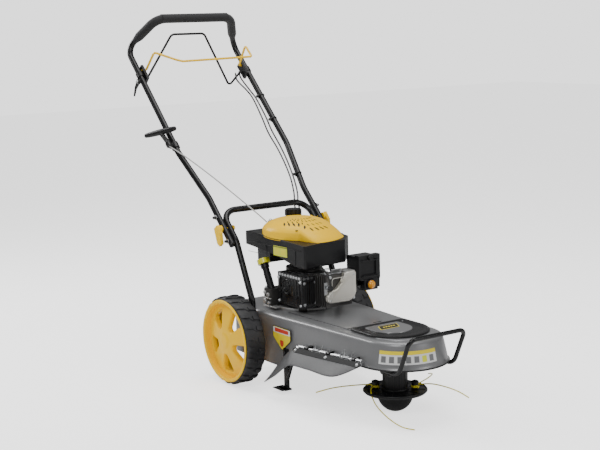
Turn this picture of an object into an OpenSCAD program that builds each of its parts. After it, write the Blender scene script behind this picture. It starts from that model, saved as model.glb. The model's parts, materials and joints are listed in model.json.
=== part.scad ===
// Walk-behind wheeled string mower. X points forward, Y to the operator's left, Z up.
// Everything is drawn about the axle's centre line on the ground, then shifted so that the
// origin is on the ground under the trimmer head's spindle.

/* [Wheels] */
// Outside diameter of the tyres
wheel_d = 305; // [290:1:320]
// Width over the outer faces of both wheels
track_out = 548; // [540:1:560]
// Width of one wheel
wheel_w = 79; // [70:1:79]
// Number of tread blocks round one edge of a tyre
tread_blocks = 24; // [18:1:30]
// Number of spokes in a rim
spokes = 5; // [4:1:6]

/* [Deck] */
// Height of the deck's top face
deck_z = 256; // [250:1:262]
// Half of the deck's width beside the engine
deck_half = 165; // [155:1:166]
// Radius of the rounded nose at the top
nose_r = 130; // [120:1:135]
// Height of the rear skirt's lower edge
skirt_z = 84; // [70:1:100]
// Thickness of the sheet
sheet = 3; // [2:0.5:4]

/* [Trimmer head] */
// Distance from the axle to the spindle
spindle_x = 588; // [570:1:600]
// Radius of the head's disc
disc_r = 102; // [95:1:108]
// Radius of the mow ball
ball_r = 57; // [50:1:58]

/* [Engine] */
// Distance from the axle to the crankshaft
crank_x = 95; // [90:1:100]
// Radius of the engine's mounting flange
flange_r = 98; // [90:1:104]

/* [Handle] */
// Diameter of the handle tubes
tube_d = 22; // [20:1:22]
// Half width of the lower handle, to the tube's centre line
lower_half = 178; // [176:1:180]
// Half width of the upper handle above its jog
grip_half = 232; // [225:1:236]
// Length of the upper handle from its top joint pin to the grip loop
upper_len = 814; // [790:2:830]
// How far the grip loop stands forward of the handle's plane
loop_out = 153; // [130:1:160]
// Half width of the grip bar between its bends
bar_half = 159; // [150:1:165]
// Lean of the handle from upright, in degrees
lean = 45; // [43:1:47]

/* [Hidden] */

eps = 0.01;
wheel_r = wheel_d / 2;
out_y = track_out / 2;
in_y = out_y - wheel_w;
axle_r = 8;
run = 0.06;
tube_r = tube_d / 2;
foam_r = 17;

// Joint line of the handle: its top pin, and how far above the ground the parts on it stand
joint_x = -128;
joint_z = 556;
fold_s = -51;
upper_half = lower_half + tube_d + 0.3;
foot_r = 45;
top_r = 60;

// Nose bumper, in profile
bump_r = 7;
bump_x = 797;
bump_y = 108;

// Vertical places
lip_z = 186;
pulley_z = 218;
disc_z = 62;
drum_z = 70;
black = [0.06, 0.06, 0.065];
dark = [0.13, 0.13, 0.14];
grey = [0.47, 0.47, 0.48];
alu = [0.72, 0.72, 0.72];
steel = [0.62, 0.63, 0.65];
yellow = [1, 0.78, 0.02];
line_yellow = [0.9, 0.8, 0.1];

// ---------------------------------------------------------------- helpers
module place() { translate([-spindle_x, 0, 0]) children(); }
module both() { children(); mirror([0, 1, 0]) children(); }
// Frame on the upper handle: local z runs up the tube, x points forward and up from it
module on_handle(s = 0, n = 0, y = 0) {
  translate([joint_x, 0, joint_z]) rotate([0, -lean, 0]) translate([n, y, s]) children();
}
module rod(a, b, r, fn = 32) {
  d = b - a;
  len = norm(d);
  translate(a) rotate([0, acos(d[2] / len), atan2(d[1], d[0])]) cylinder(h = len, r = r, $fn = fn);
}
module ycyl(x, z, y0, y1, r, fn = 32) {
  translate([x, y1, z]) rotate([90, 0, 0]) cylinder(h = y1 - y0, r = r, $fn = fn);
}
// Ring about the Z axis
module ring(ro, ri, h, fn = 64) {
  difference() {
    cylinder(h = h, r = ro, $fn = fn);
    translate([0, 0, -1]) cylinder(h = h + 2, r = ri, $fn = fn);
  }
}

// Catmull-Rom curve through a cord's points, with k steps between them
function cr(a, b, c, d, t) = 0.5 * ((2 * b) + (c - a) * t + (2 * a - 5 * b + 4 * c - d) * t * t
  + (3 * b - a - 3 * c + d) * t * t * t);
function clampi(i, n) = max(0, min(n - 1, i));
function smooth(p, k) = [for (i = [0 : len(p) - 2]) for (j = [0 : k - 1])
  cr(p[clampi(i - 1, len(p))], p[i], p[i + 1], p[clampi(i + 2, len(p))], j / k), p[len(p) - 1]];
function unit(v) = v / norm(v);
// Points along straight runs with a round bend of its own radius at each inner corner
function bend_pts(p, i, rad) = let (a = unit(p[i - 1] - p[i]), b = unit(p[i + 1] - p[i]), turn = 180 - acos(a * b),
    c = p[i] + unit(a + b) * rad / cos(turn / 2), ex = unit(p[i] + a * rad * tan(turn / 2) - c), n = ceil(turn / 11))
  [for (k = [0 : n]) c + rad * (cos(turn * k / n) * ex - sin(turn * k / n) * a)];
function bent(p, rad) = [p[0], for (i = [1 : len(p) - 2]) each bend_pts(p, i, rad[i - 1]), p[len(p) - 1]];
// Tube swept along points: the first side vector is carried along so that the tube never twists
function tangent(p, i) = i == 0 ? unit(p[1] - p[0]) : i == len(p) - 1 ? unit(p[i] - p[i - 1])
  : unit(unit(p[i + 1] - p[i]) + unit(p[i] - p[i - 1]));
function carry(t, i, u) = i == len(t) ? [] : let (v = unit(u - (u * t[i]) * t[i])) concat([v], carry(t, i + 1, v));
module tube_along(p, r, sides) {
  n = len(p);
  t = [for (i = [0 : n - 1]) tangent(p, i)];
  us = carry(t, 0, abs(t[0][1]) > 0.9 ? [0, 0, 1] : [0, 1, 0]);
  pts = [for (i = [0 : n - 1]) let (u = us[i], v = cross(t[i], u))
    for (j = [0 : sides - 1]) p[i] + r * (cos(j * 360 / sides) * u + sin(j * 360 / sides) * v)];
  faces = concat([[for (j = [0 : sides - 1]) j]],
    [for (i = [0 : n - 2]) for (j = [0 : sides - 1]) let (k = (j + 1) % sides)
      [i * sides + k, i * sides + j, (i + 1) * sides + j, (i + 1) * sides + k]],
    [[for (j = [sides - 1 : -1 : 0]) (n - 1) * sides + j]]);
  polyhedron(points = pts, faces = faces, convexity = 6);
}
module cord(route, r, k = 3, sides = 8) { tube_along(smooth(route, k), r, sides); }
module bent_tube(p, rad, r, sides = 20) { tube_along(bent(p, rad), r, sides); }

// ---------------------------------------------------------------- deck
module deck_outline(half, nr) {
  polygon([[-115, -half + 22], [-90, -half], [150, -half], [622, -nr], [622, nr], [150, half],
    [-90, half], [-115, half - 22]]);
  translate([622, 0]) circle(r = nr, $fn = 72);
}
module deck_block(z0, z1, half0, half1, n0, n1) {
  hull() {
    translate([0, 0, z0]) linear_extrude(0.5) deck_outline(half0, n0);
    translate([0, 0, z1 - 0.5]) linear_extrude(0.5) deck_outline(half1, n1);
  }
}
module deck_shell() {
  flare = 13;
  color(grey) place() difference() {
    union() {
      deck_block(lip_z - 14, deck_z, deck_half, deck_half, nose_r + flare, nose_r);
      translate([0, 0, lip_z - 14]) linear_extrude(sheet) deck_outline(deck_half, nose_r + flare + 5);
      intersection() {
        translate([0, 0, skirt_z]) linear_extrude(lip_z - skirt_z) deck_outline(deck_half, nose_r);
        rotate([90, 0, 0]) linear_extrude(500, center = true)
          polygon([[-130, 0], [215, 0], [290, 165], [290, 300], [-130, 300]]);
      }
    }
    deck_block(lip_z - 30, deck_z - sheet, deck_half - sheet, deck_half - sheet, nose_r + 9, nose_r - sheet);
    translate([0, 0, skirt_z - 1]) linear_extrude(lip_z - skirt_z) deck_outline(deck_half - sheet, nose_r - sheet);
    translate([crank_x, 0, 200]) cylinder(h = 80, r = 50, $fn = 48);
    translate([spindle_x, 0, 200]) cylinder(h = 80, r = 34, $fn = 48);
    ycyl(0, wheel_r, -200, 200, axle_r + 1);
  }
}
module belt_cover() {
  color(black) place() translate([spindle_x + 4, 0, deck_z]) difference() {
    intersection() {
      cylinder(h = 9, r1 = 110, r2 = 104, $fn = 96);
      translate([-96, -120, 0]) cube([230, 240, 9]);
    }
    translate([0, 0, -1]) intersection() {
      cylinder(h = 7, r = 100, $fn = 96);
      translate([-90, -120, 0]) cube([230, 240, 7]);
    }
  }
}
module nose_bumper() {
  z0 = lip_z - 14 - bump_r - 0.2;
  color(black) place() bent_tube([[655, -bump_y, z0], [742, -bump_y, z0], [bump_x, -bump_y, 284],
    [bump_x, bump_y, 284], [742, bump_y, z0], [655, bump_y, z0]], [42, 24, 24, 42], bump_r, 16);
}

// ---------------------------------------------------------------- axle and wheels
module axle() {
  color(steel) place() ycyl(0, wheel_r, -out_y + 10, out_y - 10, axle_r, 48);
}
module axle_brackets() {
  color(dark) place() both() difference() {
    union() {
      translate([-26, -deck_half + sheet, wheel_r - 22]) cube([52, 5, 50]);
      ycyl(0, wheel_r, -deck_half + sheet, -deck_half + sheet + 22, 16);
    }
    ycyl(0, wheel_r, -200, 0, axle_r, 48);
  }
}
module wheel_frame(s) { place() translate([0, s * out_y, wheel_r]) rotate([s * 90, 0, 0]) children(); }
// In the wheel's frame Z runs inwards from the outer face
module tyre(s) {
  ri = wheel_r - 24;
  ro = wheel_r - 5;
  w0 = 4.5;
  w1 = wheel_w;
  color(black) wheel_frame(s) {
    rotate_extrude($fn = 96) polygon([[ri, w0], [ro - 5, w0], [ro, w0 + 6], [ro, w1 - 6], [ro - 5, w1], [ri, w1]]);
    for (i = [0 : tread_blocks - 1]) {
      rotate([0, 0, i * 360 / tread_blocks]) translate([ro - 3, -7, w0 + 3]) cube([7, 14, 31]);
      rotate([0, 0, (i + 0.5) * 360 / tread_blocks]) translate([ro - 3, -7, w1 - 34]) cube([7, 14, 31]);
    }
  }
}
module rim(s) {
  ri = wheel_r - 24.3;
  hub = 30;
  color(yellow) wheel_frame(s) difference() {
    union() {
      rotate_extrude($fn = 96) polygon([[ri - 5, 0], [wheel_r - 11, 0], [wheel_r - 11, 4], [ri, 4], [ri, 76], [ri - 5, 76]]);
      difference() {
        rotate_extrude($fn = 96) polygon([[0, 4], [hub, 6], [ri - 4, 16], [ri - 4, 22], [hub, 14], [0, 14]]);
        for (i = [0 : spokes - 1]) rotate([0, 0, 90 + (i + 0.5) * 360 / spokes])
          translate([0, 0, -1]) linear_extrude(30) window();
      }
      cylinder(h = 66, r = 24, $fn = 48);
    }
    translate([0, 0, 9]) cylinder(h = 80, r = 14, $fn = 48);
  }
}
// Opening between two spokes
module window() {
  intersection() {
    difference() { circle(r = 114, $fn = 64); circle(r = 46, $fn = 64); }
    polygon([[38, -8], [122, -38], [122, 38], [38, 8]]);
  }
}
module bushes(s) {
  color([0.25, 0.25, 0.25]) wheel_frame(s) difference() {
    union() {
      translate([0, 0, 14]) cylinder(h = 14, r = 14, $fn = 48);
      translate([0, 0, 56]) cylinder(h = 14, r = 14, $fn = 48);
      translate([0, 0, 66.1]) cylinder(h = 3.9, r = 18, $fn = 48);
    }
    cylinder(h = 100, r = axle_r + run, $fn = 48);
  }
}

// ---------------------------------------------------------------- side deflector
// Hinge frame: X runs forward along the hinge rod on the machine's right side
hinge_p = [296, -176, 178];
hinge_len = 350;
hinge_yaw = 3;
hinge_rise = 2.5;
module at_hinge() { place() translate(hinge_p) rotate([0, -hinge_rise, hinge_yaw]) children(); }
module xcyl(x0, x1, y, z, r, fn = 32) { translate([x0, y, z]) rotate([0, 90, 0]) cylinder(h = x1 - x0, r = r, $fn = fn); }
post_at = [55, 165, 290];
module hinge_brackets() {
  color(dark) at_hinge() for (x = post_at) difference() {
    union() {
      xcyl(x, x + 14, 0, 0, 8);
      translate([x, 0, -8]) cube([14, 17.2, 16]);
    }
    xcyl(x - 1, x + 15, 0, 0, 4, 32);
  }
}
module hinge_rod() {
  color(steel) at_hinge() {
    xcyl(20, 330, 0, 0, 4, 32);
    xcyl(330, 334, 0, 0, 7, 32);
  }
}
module flap_springs() {
  color(steel) at_hinge() for (x = [90, 240]) {
    xcyl_ring(x, 34, 4.4, 7.4);
    rod([x + 2, 6, 0], [x + 2, 12, 12], 1.5, 16);
  }
}
module xcyl_ring(x, w, ri, ro) { translate([x, 0, 0]) rotate([0, 90, 0]) ring(ro, ri, w, 32); }
module deflector_flap() {
  color([0.2, 0.2, 0.21]) at_hinge() {
    // Knuckles round the rod
    for (x = [[20, 52], [133, 162], [196, 232], [308, 329]]) difference() {
      union() {
        xcyl(x[0], x[1], 0, 0, 7);
        translate([x[0], -13, -7]) cube([x[1] - x[0], 9, 5]);
      }
      xcyl(x[0] - 1, x[1] + 1, 0, 0, 4 + run, 32);
    }
    // Sloping panel and the wing that curves down towards the wheel
    flap_sheet([[345, -11, -2], [352, -12, -4], [262, -56, -48], [40, -54, -48], [10, -11, -4]], 3);
    flap_wing();
  }
}
module flap_sheet(p, t) {
  hull() for (q = p) translate(q) sphere(r = t / 2 + 0.2, $fn = 8);
}
module flap_wing() {
  // Rear wing as three flat strips, each steeper than the last
  a = [[10, -11, -4], [-25, -14, -22], [-62, -26, -60], [-100, -50, -118]];
  b = [[40, -54, -48], [5, -58, -62], [-38, -64, -92], [-96, -66, -122]];
  for (i = [0 : 2]) hull() for (q = [a[i], a[i + 1], b[i], b[i + 1]]) translate(q) sphere(r = 1.7, $fn = 8);
}
module rear_stand() {
  x = 205;
  color(black) place() {
    translate([x, -deck_half - 1.4, 12]) cube([26, 5, 140]);
    translate([x - 30, -deck_half - 14, 12]) cube([56, 26, 5]);
    rod([x + 20, -deck_half - 2, 40], [x + 74, -deck_half - 2, 152], 5);
  }
}

// ---------------------------------------------------------------- drive
module at_spindle() { place() translate([spindle_x, 0, 0]) children(); }
module at_crank() { place() translate([crank_x, 0, 0]) children(); }
module spindle_housing() {
  color(dark) at_spindle() difference() {
    union() {
      translate([0, 0, 158]) cylinder(h = 42, r = 31, $fn = 48);
      translate([-84, -118, 196]) cube([154, 236, 4]);
      for (y = [-92, 92]) translate([-70, y, 196]) cylinder(h = deck_z - sheet - 196, r = 8, $fn = 32);
    }
    translate([0, 0, 150]) cylinder(h = 60, r = 12 + run, $fn = 48);
  }
}
module pulley(r, h, bore) {
  difference() {
    rotate_extrude($fn = 96) polygon([[0, 0], [r + 5, 0], [r + 5, 2.5], [r - 6, 5.5], [r - 6, h - 5.5], [r + 5, h - 2.5], [r + 5, h], [0, h]]);
    translate([0, 0, -1]) cylinder(h = h + 2, r = bore, $fn = 48);
  }
}
engine_pulley_r = 38;
spindle_pulley_r = 56;
module engine_pulley() { color(steel) at_crank() translate([0, 0, pulley_z]) pulley(engine_pulley_r, 20, 11); }
module spindle_pulley() { color(steel) at_spindle() translate([0, 0, pulley_z]) pulley(spindle_pulley_r, 20, 12); }
module belt_fill(g) {
  d = spindle_x - crank_x;
  r1 = engine_pulley_r + g;
  r2 = spindle_pulley_r + g;
  a = acos((r1 - r2) / d);
  n = 20;
  polygon(concat([for (i = [0 : n]) let (t = a + (360 - 2 * a) * i / n) r1 * [cos(t), sin(t)]],
    [for (i = [0 : n]) let (t = -a + 2 * a * i / n) [d + r2 * cos(t), r2 * sin(t)]]));
}
module drive_belt() {
  color(black) at_crank() translate([0, 0, pulley_z + 6]) linear_extrude(8) difference() {
    belt_fill(3);
    belt_fill(-5);
  }
}
module idler_arm() {
  px = 360;
  py = -88;
  color(steel) place() {
    translate([px, py, pulley_z - 8]) difference() {
      union() {
        cylinder(h = 4, r = 14, $fn = 32);
        translate([-70, -9, 0]) cube([70, 18, 4]);
        translate([-70, 0, 0]) cylinder(h = 4, r = 9, $fn = 32);
        translate([-70, 0, 4]) cylinder(h = 18, r = 17, $fn = 48);
      }
      translate([0, 0, -1]) cylinder(h = 6, r = 6 + run, $fn = 32);
    }
  }
}
module spindle_shaft() {
  color(steel) at_spindle() {
    translate([0, 0, drum_z]) cylinder(h = deck_z + 4 - drum_z, r = 12, $fn = 48);
    translate([0, 0, 240.3]) cylinder(h = 8, r = 16, $fn = 6);
  }
}
module head_drum() {
  color(black) at_spindle() difference() {
    union() {
      translate([0, 0, drum_z]) cylinder(h = 72, r = 39, $fn = 64);
      translate([0, 0, drum_z + 72]) cylinder(h = 8, r1 = 39, r2 = 31, $fn = 64);
    }
    translate([0, 0, drum_z - 1]) cylinder(h = 100, r = 12, $fn = 48);
  }
}
post_r = 62;
module head_disc() {
  color(black) at_spindle() {
    translate([0, 0, disc_z]) rotate_extrude($fn = 96) polygon([[0, 0], [disc_r - 4, 0], [disc_r, 4], [disc_r, 7], [disc_r - 3, 8], [0, 8]]);
    // Line posts with an eye that the line is threaded through
    for (a = [-130, 50]) rotate([0, 0, a]) translate([post_r, 0, drum_z]) difference() {
      cylinder(h = 22, r = 11, $fn = 48);
      translate([0, 20, 13]) rotate([90, 0, 0]) cylinder(h = 40, r = 3, $fn = 24);
    }
  }
}
module mow_ball() {
  flat = 1.5;
  color(black) at_spindle() rotate_extrude($fn = 96) intersection() {
    union() {
      translate([0, ball_r - flat]) circle(r = ball_r, $fn = 96);
      translate([0, ball_r - flat]) square([ball_r, disc_z - ball_r + flat]);
    }
    square([ball_r, disc_z]);
  }
}
line_r = 1.9;
route_left = [[-38, -49, 83], [-60, -66, 82], [-85, -96, 79], [-110, -128, 75], [-132, -160, 69], [-150, -200, 60]];
route_front = [[-42, -49, 83], [-34, -66, 80], [-4, -92, 70], [52, -116, 50], [116, -122, 28], [170, -112, 11], [198, -84, 3]];
route_right = [[42, 49, 83], [62, 58, 88], [92, 74, 92], [128, 94, 88], [166, 116, 77], [196, 134, 60]];
route_rear = [[38, 49, 83], [44, 66, 88], [36, 100, 92], [10, 140, 90], [-30, 176, 80], [-76, 200, 66]];
module cut_line(route) { color(line_yellow) at_spindle() cord(route, line_r, 5, 8); }

// ---------------------------------------------------------------- engine
case_r = 62;
module engine_block() {
  fins = 6;
  color(alu) place() difference() {
    translate([crank_x, 0, 0]) {
      translate([0, 0, deck_z + 0.2]) cylinder(h = 8, r = flange_r, $fn = 96);
      for (a = [-38, 62, 135, 225]) rotate([0, 0, a]) translate([70, -14, deck_z + 0.6]) cube([flange_r - 58, 28, 9]);
      translate([0, 0, deck_z + 8]) cylinder(h = 128, r = case_r, $fn = 64);
      translate([-58, -128, deck_z + 8]) cube([44, 88, 60]);
      // Finned cylinder towards the front
      translate([56, -38, 296]) cube([148.7, 76, 84]);
      for (i = [0 : fins - 1]) translate([139 + i * 12, -52, 286]) cube([5, 104, 104]);
    }
    translate([crank_x, 0, deck_z - 1]) cylinder(h = 140, r = 13 + run, $fn = 48);
    translate([crank_x, 0, deck_z + 22]) cylinder(h = 92, r = case_r - 10, $fn = 48);
    translate(oil_p) rotate([0, oil_tilt, 0]) translate([0, 0, -25]) cylinder(h = 80, r = 12.1, $fn = 32);
  }
}
module valve_cover() {
  color([0.8, 0.78, 0.7]) place() translate([300, 0, 0]) rotate([90, 0, 90]) linear_extrude(18)
    polygon([[-52, 304], [-58, 312], [-58, 326], [-46, 342], [-22, 348], [2, 372], [12, 398], [50, 402],
      [56, 396], [56, 330], [46, 310], [26, 302]]);
}
module shroud_outline(g) {
  polygon([[-80 + g, -122 + g], [238 - g, -97 + g], [243 - g, -90], [230 - g, -22], [226 - g, 80], [201 - g, 100],
    [180 - g, 128 - g], [-60, 130 - g], [-80 + g, 112 - g]]);
}
module blower_housing() {
  // Hood with a roof that falls towards the front
  color(dark) place() difference() {
    intersection() {
      translate([0, 0, 380]) linear_extrude(200) shroud_outline(0);
      rotate([90, 0, 0]) linear_extrude(400, center = true)
        polygon([[-100, 462], [-40, 456], [90, 440], [190, 415], [260, 411], [260, 488], [-67, 508], [-100, 504]]);
    }
    intersection() {
      translate([0, 0, 380]) linear_extrude(200) shroud_outline(3);
      rotate([90, 0, 0]) linear_extrude(400, center = true)
        polygon([[-100, 400], [260, 400], [260, 484.5], [-67, 504.5], [-100, 500.5]]);
    }
    translate([crank_x, 0, 400]) cylinder(h = 200, r = 80, $fn = 64);
    translate([-46, 56, 400]) cylinder(h = 200, r = 24, $fn = 48);
  }
}
module recoil_cover() {
  color(yellow) place() {
    difference() {
      union() {
        translate([60, 0, 0]) cover_dome(0);
        cover_tongue(0);
      }
      translate([60, 0, 0]) cover_dome(3);
      cover_tongue(3);
      for (i = [0 : 7]) translate([118 + 4 * i, -62 + i * 18, 490]) rotate([0, 0, -20]) cube([30, 7, 80]);
      translate([-52, -46, 524]) rotate([0, -60, 40]) cylinder(h = 60, r = 4, $fn = 24);
      // Notch round the fuel filler
      translate([-46, 56, 480]) cylinder(h = 100, r = 31, $fn = 48);
    }
    // Boss that the recoil pulley turns on
    translate([crank_x, 0, 483]) cylinder(h = 75, r = 8 - run, $fn = 48);
  }
}
module cover_dome(g) {
  hull() {
    translate([0, 0, 502 - 2 * g]) rotate([0, 3.5, 0]) cylinder(h = 14, r = 122 - g, $fn = 64);
    translate([0, 0, 545 - g]) cylinder(h = 4, r = 96 - g, $fn = 48);
    translate([-4, 0, 558 - g]) cylinder(h = 2, r = 56 - g, $fn = 32);
  }
}
module cover_tongue(g) {
  hull() {
    translate([150, -70 + g, 499 - 2 * g]) cube([eps, 160 - 2 * g, 4]);
    translate([213 - g, -18 + g, 491 - 2 * g]) cube([10, 96 - 2 * g, 3]);
    translate([120, -60 + g, 538 - g]) cube([eps, 130 - 2 * g, 4]);
  }
}
module fuel_tank() {
  color(black) place() difference() {
    union() {
      translate([-76, -78, 400]) cube([80, 188, 58]);
      translate([-46, 56, 450]) cylinder(h = 92, r = 18, $fn = 48);
    }
    translate([-70, -72, 406]) cube([68, 176, 46]);
    translate([-46, 56, 440]) cylinder(h = 110, r = 15, $fn = 48);
  }
}
module fuel_cap() {
  color(black) place() translate([-46, 56, 0]) difference() {
    union() {
      translate([0, 0, 542.2]) cylinder(h = 26, r = 27, $fn = 48);
      for (a = [0 : 30 : 330]) rotate([0, 0, a]) translate([26, -2.5, 546]) cube([3, 5, 20]);
    }
    translate([0, 0, 540]) cylinder(h = 8, r = 22, $fn = 48);
  }
}
module muffler() {
  color([0.35, 0.3, 0.28]) place() {
    translate([128, -94, 288]) cube([88, 36, 88]);
    ycyl(185, 340, -59, -38.1, 12);
  }
}
guard_p = [86, -102, 277];
guard_s = [144, 62, 108];
module muffler_guard() {
  color(black) place() difference() {
    translate(guard_p) cube(guard_s);
    translate(guard_p + [3, 3, 3]) cube([guard_s[0] - 6, guard_s[1], guard_s[2] - 6]);
    // Slots on the front, the side and the top
    for (i = [0 : 4]) translate([guard_p[0] + guard_s[0] - 5, guard_p[1] + 6 + i * 11, 290]) cube([8, 5, 78]);
    for (i = [0 : 1]) translate([guard_p[0] + 14, guard_p[1] - 3, 290 + i * 44]) cube([9, 8, 34]);
    for (i = [0 : 2]) translate([guard_p[0] + 112 + i * 9, guard_p[1] - 3, 290]) cube([4, 8, 80]);
    for (i = [0 : 5]) translate([guard_p[0] + 12 + i * 21, guard_p[1] + 8, 380]) cube([14, 5, 8]);
    ycyl(guard_p[0] + 72, 330, guard_p[1] - 2, guard_p[1] + 5, 19, 48);
    // Relief round the crankcase
    translate([crank_x, 0, 200]) cylinder(h = 250, r = case_r + 2, $fn = 64);
  }
}
module carburettor() {
  color([0.5, 0.5, 0.5]) place() {
    translate([196, 58, 330]) cube([52, 46, 56]);
    translate([208, 62, 312]) cylinder(h = 20, r = 20, $fn = 32);
    xcyl(186, 198, 80, 356, 14);
    ycyl(222, 358, 52.2, 58, 18, 32);
  }
}
box_p = [198.5, 106, 330];
bulb_r = 14.5;
module air_filter_box() {
  bulb = [0, 148, 335];
  color(dark) place() difference() {
    union() {
      translate(box_p) cube([53.5, 80, 100]);
      translate([245, 167, 322]) cube([28, 22, 28]);
      translate([252, 122, 316]) cube([24, 56, 37]);
      xcyl(275, 281, bulb[1], bulb[2], bulb_r + 3.4, 48);
    }
    translate(box_p + [4, 4, 4]) cube([60, 72, 92]);
    xcyl(264, 290, bulb[1], bulb[2], bulb_r + 0.4, 48);
  }
}
module air_filter_cover() {
  color(dark) place() difference() {
    union() {
      translate([252.3, 100, 354]) cube([23, 90, 82]);
      ycyl(275.3, 354, 104, 120, 3.5);
      ycyl(275.3, 354, 180, 186, 3.5);
    }
    translate([251, 108, 362]) cube([16, 74, 66]);
    translate([270, 112, 368]) cube([8, 60, 54]);
  }
}
module primer_bulb() {
  color([1, 0.62, 0.05]) place() translate([272, 148, 335]) rotate([0, 90, 0]) rotate_extrude($fn = 64)
    intersection() {
      union() {
        translate([0, 4]) circle(r = bulb_r + 1.3, $fn = 64);
        square([bulb_r, 9]);
      }
      square([bulb_r, 25]);
    }
}
oil_tilt = -27;
oil_p = [55, -108, 318];
module at_oil() { place() translate(oil_p) rotate([0, oil_tilt, 0]) children(); }
module oil_tube() {
  color(black) at_oil() difference() {
    union() {
      translate([0, 0, -10]) cylinder(h = 102, r = 11.8, $fn = 32);
      translate([0, 0, 78]) cylinder(h = 14, r = 15, $fn = 32);
    }
    translate([0, 0, -12]) cylinder(h = 120, r = 9, $fn = 32);
  }
}
module dipstick() {
  color([0.95, 0.9, 0.1]) at_oil() {
    translate([0, 0, 92.3]) cylinder(h = 18, r = 22, $fn = 48);
    translate([0, 0, 85]) cylinder(h = 8, r = 8.6, $fn = 32);
    translate([-3, -1, 0]) cube([6, 2, 90]);
  }
}
module crankshaft() {
  color(steel) at_crank() {
    translate([0, 0, 206]) cylinder(h = 270, r = 11, $fn = 48);
    translate([0, 0, 292]) cylinder(h = 14, r = 40, $fn = 48);
    translate([24, 0, 305]) cylinder(h = 32, r = 11, $fn = 48);
    translate([0, 0, 336]) cylinder(h = 14, r = 40, $fn = 48);
  }
}
module flywheel() {
  color(alu) at_crank() difference() {
    union() {
      translate([0, 0, 428]) cylinder(h = 14, r = 74, $fn = 64);
      for (i = [0 : 15]) rotate([0, 0, i * 22.5]) translate([48, -2, 441]) cube([24, 4, 20]);
    }
    translate([0, 0, 420]) cylinder(h = 40, r = 11, $fn = 48);
  }
}
module recoil_pulley() {
  color([0.85, 0.85, 0.8]) at_crank() difference() {
    union() {
      translate([0, 0, 484]) cylinder(h = 3, r = 40, $fn = 64);
      translate([0, 0, 487]) cylinder(h = 8, r = 34, $fn = 64);
      translate([0, 0, 495]) cylinder(h = 3, r = 40, $fn = 64);
    }
    translate([0, 0, 480]) cylinder(h = 40, r = 8, $fn = 48);
  }
}

// ---------------------------------------------------------------- fasteners on the chassis
leg_x = 40;
module chassis_bolts() {
  color(steel) place() {
    both() {
      for (z = [160, 232]) ycyl(leg_x, z, -lower_half - tube_r - 3, -deck_half + sheet + 2.5, 3.5);
      for (z = [160, 232]) ycyl(leg_x, z, -lower_half - tube_r - 5, -lower_half - tube_r + 0.5, 7, 6);
      // Axle nuts, inside the hub recess
      ycyl(0, wheel_r, -out_y + 10.5, -out_y + 13.5, 12, 6);
    }
    for (y = [-92, 92]) translate([spindle_x - 70, y, deck_z]) cylinder(h = 7, r = 8, $fn = 6);
    for (a = [-38, 62, 135, 225]) translate([crank_x, 0, deck_z + 9.7]) rotate([0, 0, a])
      translate([flange_r + 1, 0, 0]) cylinder(h = 7, r = 8, $fn = 6);
    translate([360, -88, pulley_z - 9]) cylinder(h = deck_z - sheet - pulley_z + 9, r = 6, $fn = 32);
  }
}

// ---------------------------------------------------------------- handle
knee_s = -108;
module lower_handle() {
  knee = [joint_x - knee_s * sin(lean), joint_z + knee_s * cos(lean)];
  top = [joint_x - 24 * sin(lean), joint_z + 24 * cos(lean)];
  w = lower_half;
  color(black) place() difference() {
    bent_tube([[leg_x, -w, 112], [leg_x, -w, 285], [knee[0], -w, knee[1]], [top[0], -w, top[1]],
      [top[0], w, top[1]], [knee[0], w, knee[1]], [leg_x, w, 285], [leg_x, w, 112]],
      [60, 60, 55, 55, 60, 60], tube_r);
    on_handle(fold_s) ycyl(0, 0, -w - 20, w + 20, 4 + run, 32);
  }
}
jog_s0 = 85;
jog_s1 = 300;
module upper_handle() {
  a = upper_half;
  g = grip_half;
  color(black) place() on_handle() difference() {
    union() {
      bent_tube([[0, -a, -124], [0, -a, jog_s0], [0, -g, jog_s1], [0, -g, upper_len], [loop_out, -bar_half, upper_len],
        [loop_out, bar_half, upper_len], [0, g, upper_len], [0, g, jog_s1], [0, a, jog_s0], [0, a, -124]],
        [150, 150, foot_r, top_r, top_r, foot_r, 150, 150], tube_r);
      // Locating pins beside the clamp
      both() for (s = [0, -104]) ycyl(0, s, -a - tube_r - 4, -a - tube_r + 2, 5, 32);
    }
    translate([0, 0, fold_s]) ycyl(0, 0, -300, 300, 4 + run, 32);
  }
}
module foam_path(r, ext = 0) {
  v = unit([loop_out, grip_half - bar_half, 0]);
  p = [(foot_r - ext) * v[0], -grip_half + (foot_r - ext) * v[1], upper_len];
  bent_tube([p, [loop_out, -bar_half, upper_len], [loop_out, bar_half, upper_len], [p[0], -p[1], upper_len]],
    [top_r, top_r], r, 24);
}
module foam_grip() {
  color(black) place() on_handle() difference() {
    foam_path(foam_r);
    foam_path(tube_r + 0.1, 4);
  }
}
module cam_levers() {
  color(yellow) place() on_handle(fold_s) both() {
    // Stud through both tubes, with the lever on the outside
    ycyl(0, 0, -upper_half - tube_r - 10, -lower_half + tube_r + 8, 4, 32);
    ycyl(0, 0, -upper_half - tube_r - 16, -upper_half - tube_r - 0.3, 13, 32);
    ycyl(0, 0, -lower_half + tube_r + 0.3, -lower_half + tube_r + 6, 9, 6);
    translate([0, -upper_half - tube_r - 9, 0]) rotate([90, 0, 0]) linear_extrude(11)
      polygon([[-12, 14], [12, 10], [10, -22], [-14, -52], [-30, -50], [-34, -34]]);
  }
}
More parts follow.
